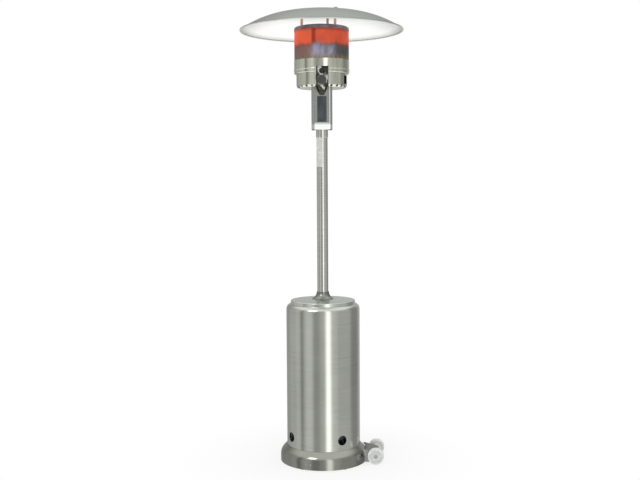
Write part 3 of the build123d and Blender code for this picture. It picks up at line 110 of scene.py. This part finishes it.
def calculate(tree, operation, first, second):
    """One Math node on two items, each a value, a socket or a number."""
    node = add_node(tree, "ShaderNodeMath", {"operation": operation}, {0: first, 1: second})
    return Value(tree, node.outputs[0])


class Value:
    """A number socket that takes part in sums."""

    def __init__(self, tree, socket):
        self.tree = tree
        self.socket = socket

    def math(self, operation, other=0.0):
        return calculate(self.tree, operation, self, other)

    def __add__(self, other):
        return self.math("ADD", other)

    def __radd__(self, other):
        return self.math("ADD", other)

    def __sub__(self, other):
        return self.math("SUBTRACT", other)

    def __rsub__(self, other):
        return calculate(self.tree, "SUBTRACT", other, self)

    def __mul__(self, other):
        return self.math("MULTIPLY", other)

    def __rmul__(self, other):
        return self.math("MULTIPLY", other)

    def ramp(self, low, high):
        """0 below low, 1 above high and a smooth rise between."""
        node = add_node(
            self.tree,
            "ShaderNodeMapRange",
            {"interpolation_type": "SMOOTHSTEP"},
            {"Value": self, "From Min": low, "From Max": high},
        )
        return Value(self.tree, node.outputs["Result"])


def split(tree, vector):
    """The X, Y and Z of a vector socket as values."""
    parts = add_node(tree, "ShaderNodeSeparateXYZ", None, {0: vector})
    return tuple(Value(tree, output) for output in parts.outputs)


print("sums of sockets ready")


# %% [markdown]
# Every finish reads the object's own coordinates, which are the model's metres, so a pattern
# keeps its size and its place on each piece.


# %% A finish
class Shader:
    """A material with its principled shader and the object's coordinates."""

    def __init__(self, name):
        self.material = bpy.data.materials.new(name)
        self.material.use_nodes = True
        self.tree = self.material.node_tree
        self.surface = self.tree.nodes["Principled BSDF"]
        self.point = self.node("ShaderNodeTexCoord").outputs["Object"]
        self.x, self.y, self.z = split(self.tree, self.point)

    def node(self, kind, settings=None, inputs=None):
        return add_node(self.tree, kind, settings, inputs)

    def angle(self):
        """Turn round the pole's axis, 0 at the front and positive to the right, in radians."""
        return self.x.math("ARCTAN2", -1.0 * self.y)

    def reach(self):
        """Distance from the pole's axis."""
        return (self.x * self.x + self.y * self.y).math("SQRT")

    def vector(self, x, y, z):
        return self.node("ShaderNodeCombineXYZ", None, {0: x, 1: y, 2: z}).outputs[0]

    def noise(self, scale, detail=3.0, roughness=0.5, at=None):
        """Noise from 0 to 1; scale gives the number of lumps in each metre along X, Y and Z."""
        stretch = self.node("ShaderNodeMapping", None, {"Vector": at or self.point, "Scale": scale})
        inputs = {
            "Vector": stretch.outputs[0],
            "Scale": 1.0,
            "Detail": detail,
            "Roughness": roughness,
        }
        return Value(self.tree, self.node("ShaderNodeTexNoise", None, inputs).outputs["Fac"])

    def blend(self, factor, first, second):
        """A colour between two colours, each three numbers or a socket."""
        inputs = {0: factor, 6: first, 7: second}
        return self.node("ShaderNodeMix", {"data_type": "RGBA"}, inputs).outputs[2]

    def set(self, name, item):
        feed(self.tree, self.surface.inputs[name], item)

    def dress(self, colour, metallic, roughness, height, depth):
        """Set the surface, raised by a height from 0 to 1 times a depth in metres."""
        inputs = {"Height": height, "Distance": depth, "Strength": 1.0}
        self.set("Base Color", colour)
        self.set("Metallic", metallic)
        self.set("Roughness", roughness)
        self.set("Normal", self.node("ShaderNodeBump", None, inputs).outputs[0])
        return self.material


print("shader helpers made")

# %% [markdown]
# ## Brushed and plated metals
# The cover, base and pole are stainless steel, brushed round the axis by a belt while the tube
# turns. An image could show the lines, but noise stretched into thin rings never repeats and
# needs no picture. The lid is flat, so its rings run outward from the pole instead of up.


# %% Brushed steel
def darker(colour, share):
    return tuple(c * share for c in colour)


def brushed_metal(name, colour, roughness, rings=900.0, outward=False, painted_reflection_below=None):
    """Steel brushed in rings up the height or outward, with a painted pale reflection below a
    height.
    """
    shader = Shader(name)
    if outward:
        at = shader.vector(shader.reach(), shader.angle() * 0.02, 0.0)
        lines = shader.noise((rings, 6.0, 1.0), detail=4.0, roughness=0.6, at=at)
    else:
        lines = shader.noise((6.0, 6.0, rings), detail=4.0, roughness=0.6)
    cloud = shader.noise((5.0, 5.0, 3.0), detail=2.0)
    tone = (lines - 0.5) * 0.6 + (cloud - 0.5) * 0.3 + 0.5
    light = tuple(min(1.0, c * 1.10) for c in colour)
    tint = shader.blend(tone.ramp(0.35, 0.65), darker(colour, 0.88), light)
    # painted reflection: a pale strip below the given height stands for the reflection on the
    # chin's flare
    if painted_reflection_below:
        raised = shader.z.ramp(painted_reflection_below - 0.006, painted_reflection_below)
        tint = shader.blend(raised, (0.74, 0.75, 0.72), tint)
    worn = (lines - 0.5) * 0.14 + (cloud - 0.5) * 0.06 + roughness
    return shader.dress(tint, 1.0, worn, lines, 0.000004)


# the control head's steel turns pale below this height, a painted reflection
chin_top = 1.702
brushed = brushed_metal("brushed_steel", (0.60, 0.615, 0.56), 0.20)
brushed_pole = brushed_metal("brushed_pole", (0.62, 0.63, 0.585), 0.16, rings=300.0)
# The lid is the cover's steel painted lighter, for the light that falls on its top.
lid_steel_painted_light = brushed_metal("lid_steel_painted_light", (0.70, 0.715, 0.67), 0.26, rings=500.0, outward=True)
# The collar and the vent rims are the cover's steel painted dark, for shade and dark reflection.
steel_painted_shade = brushed_metal("steel_painted_shade", (0.27, 0.28, 0.25), 0.25, rings=180.0)
brushed_base = brushed_metal("brushed_base", (0.34, 0.345, 0.305), 0.18)
brushed_head = brushed_metal("brushed_head", (0.47, 0.485, 0.46), 0.16, painted_reflection_below=chin_top)
print("brushed metals made")


# %% Polished and plated metals
def polished_metal(name, colour, roughness, waves=0.0006):
    """Bright metal with slight dents of the pressing and a few wiped streaks."""
    shader = Shader(name)
    dents = shader.noise((14.0, 14.0, 20.0), detail=1.5)
    streaks = shader.noise((60.0, 60.0, 7.0))
    tint = shader.blend(streaks.ramp(0.35, 0.7), colour, darker(colour, 0.86))
    return shader.dress(tint, 1.0, (streaks - 0.5) * 0.12 + roughness, dents, waves)


def plated_metal(name, colour, roughness):
    """Zinc-plated steel with a fine grain and duller patches."""
    shader = Shader(name)
    grain = shader.noise((400.0, 400.0, 400.0))
    patches = shader.noise((25.0, 25.0, 25.0))
    tint = shader.blend(patches.ramp(0.4, 0.65), colour, darker(colour, 0.72))
    dull = (grain - 0.5) * 0.15 + (patches - 0.5) * 0.2 + roughness
    return shader.dress(tint, 0.9, dull, grain, 0.00003)


polished = polished_metal("polished_steel", (0.70, 0.71, 0.60), 0.14)
dark_chrome = polished_metal("dark_chrome", (0.15, 0.155, 0.145), 0.08, waves=0.001)
# The studs' reddish tint is a painted reflection of the glow.
stud_glow_reflection = polished_metal("stud_painted_glow_reflection", (0.50, 0.30, 0.27), 0.25)
brass = polished_metal("brass", (0.66, 0.47, 0.20), 0.28, waves=0.0001)
zinc = plated_metal("zinc_plated", (0.50, 0.51, 0.50), 0.42)
galvanised = plated_metal("bracket_steel", (0.42, 0.43, 0.41), 0.45)
print("polished and plated metals made")

# %% [markdown]
# ## Recess and reflector
# The chromed recess is small and curved; its broken reflection is painted: dark at its left edge,
# right of the knob and in its pointed foot. Its painted blots are noise, pushed darker at those
# places.
# The reflector is one spun sheet, satin outside and bright below, with a painted shade band under
# its rim. The way the surface faces tells the two sides apart, since the sheet is too thin to tell
# them by height.


# %% Recess and reflector
def recess_painted_reflection():
    """Chromed pressing with a painted reflection: dark blots left and right of the knob and below
    it.
    """
    shader = Shader("recess_steel_painted_reflection")
    blobs = shader.noise((48.0, 48.0, 30.0), detail=1.0)
    side = shader.x.ramp(-0.006, 0.014) * shader.z.ramp(1.895, 1.935)
    foot = 1.0 - shader.z.ramp(1.878, 1.902)
    edge = 1.0 - (shader.x + 0.024).math("ABSOLUTE").ramp(0.001, 0.007)
    # painted reflection: the dark share of the chrome's colour
    dark = (blobs * 1.1 + side * 0.24 + foot * 0.26 + edge * 0.5).ramp(0.60, 0.76)
    tint = shader.blend(dark, (0.88, 0.89, 0.85), (0.10, 0.10, 0.08))
    return shader.dress(tint, 1.0, blobs * 0.10 + 0.04, blobs, 0.0006)


def reflector_metal():
    """Spun aluminium: satin and greyer outside, pale and clean below, with painted shade near the
    rim.
    """
    shader = Shader("reflector_aluminium")
    facing = shader.node("ShaderNodeNewGeometry").outputs["True Normal"]
    outside = split(shader.tree, facing)[2].ramp(-0.15, 0.15)
    reach = shader.reach()
    rings = shader.noise((500.0, 1.0, 1.0), at=shader.vector(reach, 0.0, 0.0))
    cloud = shader.noise((4.0, 4.0, 4.0), detail=2.0)
    inner = shader.blend(cloud.ramp(0.35, 0.7), (0.98, 0.99, 0.97), (0.90, 0.92, 0.89))
    # painted shade: the underside turns grey towards the rim
    inner = shader.blend(reach.ramp(0.368, 0.402), inner, (0.60, 0.62, 0.58))
    outer = shader.blend(rings.ramp(0.3, 0.7), (0.30, 0.31, 0.285), (0.36, 0.37, 0.345))
    tint = shader.blend(outside, inner, outer)
    return shader.dress(tint, outside * 0.40 + 0.50, rings * 0.10 + 0.30, rings, 0.00002)


mirror = recess_painted_reflection()
dome_metal = reflector_metal()
print("recess and reflector metal made")

# %% [markdown]
# ## Hot metal
# The emitter glows red above a ragged edge. Below it the sheet is lavender where it has blued,
# darker towards the sides and brown at its foot, and a darker seam runs up it left of the front.
# The pattern is worked out on the unrolled sheet: distance round it and height up it.

# %% Hot metal
emitter_radius = 0.137
glow_low = 2.083
glow_high = 2.172
tint_foot = 2.012
tint_top = 2.046
seam_angle = -0.29


def emitter_material():
    """A sheet with tongues of heat, long up it and short round it."""
    shader = Shader("hot_emitter")
    around = shader.angle()
    unrolled = shader.vector(around * emitter_radius, 0.0, shader.z)
    tongues = shader.noise((120.0, 1.0, 12.0), detail=4.0, at=unrolled)
    patches = shader.noise((22.0, 1.0, 16.0), detail=2.0, at=unrolled)
    edge = shader.z + (tongues - 0.5) * 0.050 + (patches - 0.5) * 0.024
    hot = edge.ramp(glow_low - 0.014, glow_low + 0.016)
    cooler_top = 1.0 - shader.z.ramp(glow_high - 0.032, glow_high - 0.004) * 0.60
    seam = 1.0 - (around - seam_angle).math("ABSOLUTE").ramp(0.02, 0.13)
    left = 1.0 - around.ramp(-1.0, 0.5)
    heat = patches * 0.5 + tongues * 0.25 + left * 0.30 + 0.34
    strength = hot * cooler_top * (1.0 - seam * 0.62) * heat
    glow = shader.blend(strength.ramp(0.15, 1.10), (0.20, 0.009, 0.004), (0.86, 0.115, 0.038))
    shader.set("Emission Color", shader.blend(hot, (0.0, 0.0, 0.0), glow))
    shader.set("Emission Strength", 0.76)
    middle = 1.0 - (around - 0.05).math("ABSOLUTE").ramp(0.10, 0.75)
    lavender = shader.blend(patches.ramp(0.35, 0.65), (0.40, 0.39, 0.52), (0.22, 0.23, 0.27))
    side_tone = shader.blend(around.ramp(-0.7, 0.5), (0.32, 0.18, 0.165), (0.13, 0.125, 0.13))
    upper = shader.blend((middle + (tongues - 0.5) * 0.8).ramp(0.2, 0.8), side_tone, lavender)
    brown = shader.blend(tongues.ramp(0.3, 0.7), (0.40, 0.34, 0.22), (0.18, 0.13, 0.09))
    above_foot = (shader.z + (tongues - 0.5) * 0.03).ramp(tint_foot, tint_top)
    cold = shader.blend(above_foot, brown, upper)
    tint = shader.blend(hot, cold, (0.10, 0.030, 0.022))
    return shader.dress(tint, 0.55, tongues * 0.2 + 0.38, tongues, 0.0003)


def hot_cap_material():
    """Sheet blued and browned by heat."""
    shader = Shader("hot_cap")
    stain = shader.noise((16.0, 16.0, 30.0))
    tint = shader.blend(stain.ramp(0.35, 0.65), (0.12, 0.085, 0.10), (0.22, 0.17, 0.20))
    return shader.dress(tint, 0.8, stain * 0.25 + 0.30, stain, 0.0002)


emitter = emitter_material()
hot_cap = hot_cap_material()
print("hot metal made")

# %% [markdown]
# ## Plastic, rubber, paint and film
# These share one finish: a fine grain from the mould or the spray, and faint lighter scuffs. The
# label is a plain dark film, so it has a finish of its own with a few wipe marks.


# %% Plastic, rubber, paint and film
def moulded(name, colour, roughness, grain_depth=0.00003):
    """A plain surface with a fine grain and faint scuffs."""
    shader = Shader(name)
    grain = shader.noise((900.0, 900.0, 900.0), detail=2.0)
    scuffs = shader.noise((45.0, 45.0, 45.0), detail=4.0)
    lighter = tuple(min(1.0, c * 1.25 + 0.01) for c in colour)
    tint = shader.blend(scuffs.ramp(0.45, 0.75), colour, lighter)
    return shader.dress(tint, 0.0, (scuffs - 0.5) * 0.2 + roughness, grain, grain_depth)


def label_material():
    """Dark film with a cool sheen and faint wipe marks."""
    shader = Shader("label_film")
    wipes = shader.noise((40.0, 1.0, 18.0))
    tint = shader.blend(wipes.ramp(0.35, 0.7), (0.030, 0.042, 0.046), (0.060, 0.070, 0.080))
    return shader.dress(tint, 0.0, wipes * 0.15 + 0.30, wipes, 0.00003)


black_plastic = moulded("black_plastic", (0.018, 0.018, 0.018), 0.42)
pale_plastic = moulded("pale_plastic", (0.80, 0.81, 0.79), 0.45)
red_plastic = moulded("red_plastic", (0.36, 0.018, 0.014), 0.35)
rubber = moulded("black_rubber", (0.012, 0.012, 0.012), 0.65)
ceramic = moulded("ceramic", (0.80, 0.78, 0.72), 0.25)
band_film = moulded("band_film", (0.60, 0.62, 0.58), 0.40)
tank_paint = moulded("tank_paint", (0.145, 0.20, 0.215), 0.33)
iron = moulded("cast_iron", (0.03, 0.028, 0.026), 0.60, grain_depth=0.0003)
label_film = label_material()
print("other finishes made")

# %% [markdown]
# ## Perforated emitter
# The real emitter is a sheet punched with small holes, which glows as one. A see-through pattern
# has no thickness, so the holes are cut in the mesh. A line is spun into a tube of small panels,
# each panel is inset, its middle is deleted, and the sheet gets its thickness. A plain liner just
# inside it keeps daylight from showing through the holes.


# %% Helpers for new pieces
def spun(shape, geometry, steps):
    """Spin a line or a ring a full turn round the Z axis."""
    bmesh.ops.spin(
        shape,
        geom=geometry,
        cent=(0.0, 0.0, 0.0),
        axis=(0.0, 0.0, 1.0),
        angle=2 * math.pi,
        steps=steps,
        use_merge=True,
    )


def finished(shape, name, material, body):
    """Turn a bmesh into a piece of the object that moves with a body."""
    bmesh.ops.recalc_face_normals(shape, faces=shape.faces)
    open_edges = sum(not edge.is_manifold for edge in shape.edges)
    mesh = bpy.data.meshes.new(name)
    shape.to_mesh(mesh)
    shape.free()
    mesh.materials.append(material)
    piece = linked(name, mesh)
    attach(piece, body)
    print(name, "faces:", len(mesh.polygons), "open edges:", open_edges)
    return piece


print("helpers for new pieces ready")


# %% Perforated emitter
screen_radius = 0.1357
screen_sheet = 0.0008
liner_radius = 0.1340
screen_foot = 2.0062
screen_top = 2.1668
holes_around = 160
holes_up = 30
hole_border = 0.0014
plain_border = 0.010


def upright(shape, radius):
    """A line up the sheet at a radius."""
    foot = shape.verts.new((radius, 0.0, screen_foot))
    top = shape.verts.new((radius, 0.0, screen_top))
    return [foot, top, shape.edges.new((foot, top))]


shape = bmesh.new()
side = upright(shape, screen_radius)[2]
bmesh.ops.subdivide_edges(shape, edges=[side], cuts=holes_up - 1)
spun(shape, shape.verts[:] + shape.edges[:], holes_around)
bmesh.ops.recalc_face_normals(shape, faces=shape.faces)
punched = [
    face
    for face in shape.faces
    if screen_foot + plain_border < face.calc_center_median().z < screen_top - plain_border
]
bmesh.ops.inset_individual(shape, faces=punched, thickness=hole_border, use_even_offset=True)
bmesh.ops.delete(shape, geom=punched, context="FACES")
bmesh.ops.solidify(shape, geom=shape.faces[:], thickness=screen_sheet)
sheet = set(shape.faces)
spun(shape, upright(shape, liner_radius), holes_around)
liner = [face for face in shape.faces if face not in sheet]
bmesh.ops.solidify(shape, geom=liner, thickness=screen_sheet / 2)
fit = screen_radius / max(vert.co.xy.length for vert in shape.verts)
bmesh.ops.scale(shape, vec=(fit, fit, 1.0), verts=shape.verts)
screen = finished(shape, "perforated_screen", emitter, "root")
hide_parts("emitter_screen")
print("holes in the emitter:", len(punched))

# %% [markdown]
# ## Wheel ribs
# Moulded ribs stiffen the dish of each plastic wheel. They are plain blocks, so each is a cube,
# stretched, moved out from the axle and turned round it. The axle lies across the wheel kit,
# which stands a few degrees off the side of the base.

# %% Wheel ribs
wheel_reach = 0.268
wheel_height = 0.0425
wheel_turn = math.radians(-4.6)
rib_count = 6
rib_size = (0.0185, 0.0060, 0.0030)
rib_middle = 0.0215
rib_offset = 0.0922
kit_place = Matrix.Translation((wheel_reach, 0.0, wheel_height))
wheel_kit = Matrix.Rotation(wheel_turn, 4, "Z") @ kit_place
for body, way in (("wheel_near", -1.0), ("wheel_far", 1.0)):
    shape = bmesh.new()
    for rib in range(rib_count):
        around = Matrix.Rotation(2 * math.pi * rib / rib_count, 4, "Y")
        place = Matrix.Translation((rib_middle, way * rib_offset, 0.0))
        stretch = Matrix.Diagonal((*rib_size, 1.0))
        bmesh.ops.create_cube(shape, size=1.0, matrix=wheel_kit @ around @ place @ stretch)
    ribs = finished(shape, body + "_ribs", pale_plastic, body)

# %% [markdown]
# ## Vent rims
# Each vent of the cover has a small turned-out rim. A ring laid flat against the cover would
# stand off at its sides, so the ring is spun flat and then bent: the distance across it becomes
# a turn round the cover, and its thickness becomes a distance outward.

# %% Vent rims
cover_radius = 0.1855
vent_radius = 0.0244
vent_height = 0.1377
vent_angles = (30.0, 120.0, 210.0, 300.0)
rim_thickness = 0.0009
rim_sides = 8
rim_steps = 48
for index, vent_angle in enumerate(vent_angles):
    shape = bmesh.new()
    section = Matrix.Translation((vent_radius, 0.0, 0.0)) @ Matrix.Rotation(math.pi / 2, 4, "X")
    bmesh.ops.create_circle(shape, segments=rim_sides, radius=rim_thickness, matrix=section)
    spun(shape, shape.verts[:] + shape.edges[:], rim_steps)
    for vert in shape.verts:
        across, up, out = vert.co
        turn_to = math.radians(vent_angle) + across / cover_radius
        arm = cover_radius + out
        vert.co = (arm * math.cos(turn_to), arm * math.sin(turn_to), vent_height + up)
    rim = finished(shape, "vent_rim_" + str(index + 1), steel_painted_shade, "tank_cover")

# %% [markdown]
# ## Finish of the CAD pieces
# Every other piece is the CAD model's own shape and only needs its finish. One table pairs each
# finish with the pieces that have it, so that a change of finish is a change of one word.

# %% Assign the finishes
finishes = {
    brushed: "cover_shell seam_strip",
    lid_steel_painted_light: "cover_lid",
    brushed_pole: "pole pole_collar",
    brushed_head: "control_housing back_cover",
    brushed_base: "base_pan",
    steel_painted_shade: "lid_collar",
    polished: "burner_cup burner_band wing_nuts",
    mirror: "control_recess",
    dark_chrome: "control_knob",
    stud_glow_reflection: "reflector_studs stud_spacers",
    zinc: "leg_bolts socket_bolts bracket_bolts case_screws seam_screws axle_caps wheel_axle"
    " support_leg_rear support_leg_left support_leg_right post_socket head_bracket burner_deck"
    " venturi stud_nuts thermocouple",
    galvanised: "wheel_bracket",
    dome_metal: "reflector regulator",
    hot_cap: "burner_top_cap",
    emitter: "emitter_screen",
    black_plastic: "tilt_switch igniter_body igniter_button regulator_nut",
    pale_plastic: "wheel_near wheel_far",
    red_plastic: "tank_handwheel",
    rubber: "rubber_feet gas_hose",
    ceramic: "igniter_electrode",
    band_film: "pole_band",
    tank_paint: "tank_body tank_foot_ring tank_guard",
    brass: "tank_valve feed_pipe gas_valve valve_stem hose_ferrules pilot_burner tilt_pendulum",
    iron: "burner_head",
    label_film: "label_plate",
}
dressed = 0
for material, names in finishes.items():
    for name in names.split():
        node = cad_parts[name]
        node.data.materials.clear()
        node.data.materials.append(material)
        dressed += 1
print("nodes dressed:", dressed)

# %% [markdown]
# ## Floor
# A pale disc keeps the contact shadow and fades into the white background. The steel would
# mirror the disc and lose its streaks low down, so glossy rays pass through it to the room.

# %% Floor
floor_radius = 1.3
floor_segments = 96
floor_mesh = bpy.data.meshes.new("floor")
shape = bmesh.new()
bmesh.ops.create_circle(shape, cap_ends=True, segments=floor_segments, radius=floor_radius)
shape.to_mesh(floor_mesh)
shape.free()
floor = linked("floor", floor_mesh)
pale = Shader("floor_pale")
mottle = pale.noise((2.0, 2.0, 2.0), detail=2.0)
pale.set("Base Color", pale.blend(mottle, (0.92, 0.92, 0.92), (0.94, 0.94, 0.94)))
pale.set("Roughness", 0.9)
path = pale.node("ShaderNodeLightPath")
whiteness = Value(pale.tree, path.outputs["Is Camera Ray"]) * (
    pale.reach().ramp(0.25, 0.9) * 0.25 + 0.75
)
white = pale.node("ShaderNodeEmission").outputs[0]
clear = pale.node("ShaderNodeBsdfTransparent").outputs[0]
seen = pale.node("ShaderNodeMixShader", None, {0: whiteness, 1: pale.surface.outputs[0], 2: white})
mixed = {0: path.outputs["Is Glossy Ray"], 1: seen.outputs[0], 2: clear}
floor_surface = pale.node("ShaderNodeMixShader", None, mixed).outputs[0]
feed(pale.tree, pale.tree.nodes["Material Output"].inputs[0], floor_surface)
floor.data.materials.append(pale.material)
print("floor made")

# %% [markdown]
# ## Room and lamp
# The camera sees a white background. Everything else sees a studio: grey walls with a tall white
# panel right of the camera and darker panels left of it, and pale light above and below. Real
# panels could stand there, but as bands of the world they light every height alike. They draw
# the upright streaks on the steel. One soft lamp gives the shadow its side.

# %% Room and lamp
# each panel: azimuth in degrees from the camera, positive to the right, half width, added level
wall_level = 0.52
panels = (
    (16.0, 10.5, 1.42),
    (34.0, 14.0, 0.14),
    (-21.0, 14.0, -0.16),
    (-45.0, 16.0, 0.20),
    (-70.0, 7.0, -0.26),
    (-86.0, 12.0, 0.10),
    (118.0, 30.0, -0.22),
    (-150.0, 30.0, -0.12),
)
sky_level = 1.10
ground_level = 1.32
lamp_size = 1.6
lamp_power = 30.0
lamp_place = Vector((-2.2, -3.0, 3.6))
lamp_target = Vector((0.0, 0.0, 1.2))

world = bpy.data.worlds.new("room")
bpy.context.scene.world = world
world.use_nodes = True
tree = world.node_tree
tree.nodes.clear()
x, y, z = split(tree, add_node(tree, "ShaderNodeTexCoord").outputs["Generated"])
azimuth = x.math("ARCTAN2", -1.0 * y) * (180.0 / math.pi)
level = x * 0.0 + wall_level
for centre, half_width, added in panels:
    edge = (azimuth - centre).math("ABSOLUTE").ramp(half_width * 0.45, half_width)
    level = level + (1.0 - edge) * added
above = z.ramp(0.42, 0.80)
below = 1.0 - z.ramp(-0.62, -0.32)
level = level * (1.0 - above) * (1.0 - below) + above * sky_level + below * ground_level
plain_white = (1.0, 1.0, 1.0)
room = add_node(tree, "ShaderNodeBackground", None, {"Color": plain_white, "Strength": level})
paper = add_node(tree, "ShaderNodeBackground", None, {"Color": plain_white, "Strength": 1.0})
camera_ray = add_node(tree, "ShaderNodeLightPath").outputs["Is Camera Ray"]
shown = {0: camera_ray, 1: room.outputs[0], 2: paper.outputs[0]}
chosen = add_node(tree, "ShaderNodeMixShader", None, shown).outputs[0]
add_node(tree, "ShaderNodeOutputWorld", None, {0: chosen})

lamp_data = bpy.data.lights.new("soft_lamp", "AREA")
lamp_data.shape = "RECTANGLE"
lamp_data.size = lamp_size
lamp_data.size_y = lamp_size
lamp_data.energy = lamp_power
lamp = linked("soft_lamp", lamp_data)
lamp_aim = (lamp_target - lamp_place).to_track_quat("-Z", "Y").to_matrix().to_4x4()
lamp.matrix_world = Matrix.Translation(lamp_place) @ lamp_aim
bpy.context.scene.view_settings.view_transform = "Standard"
print("room and lamp made")
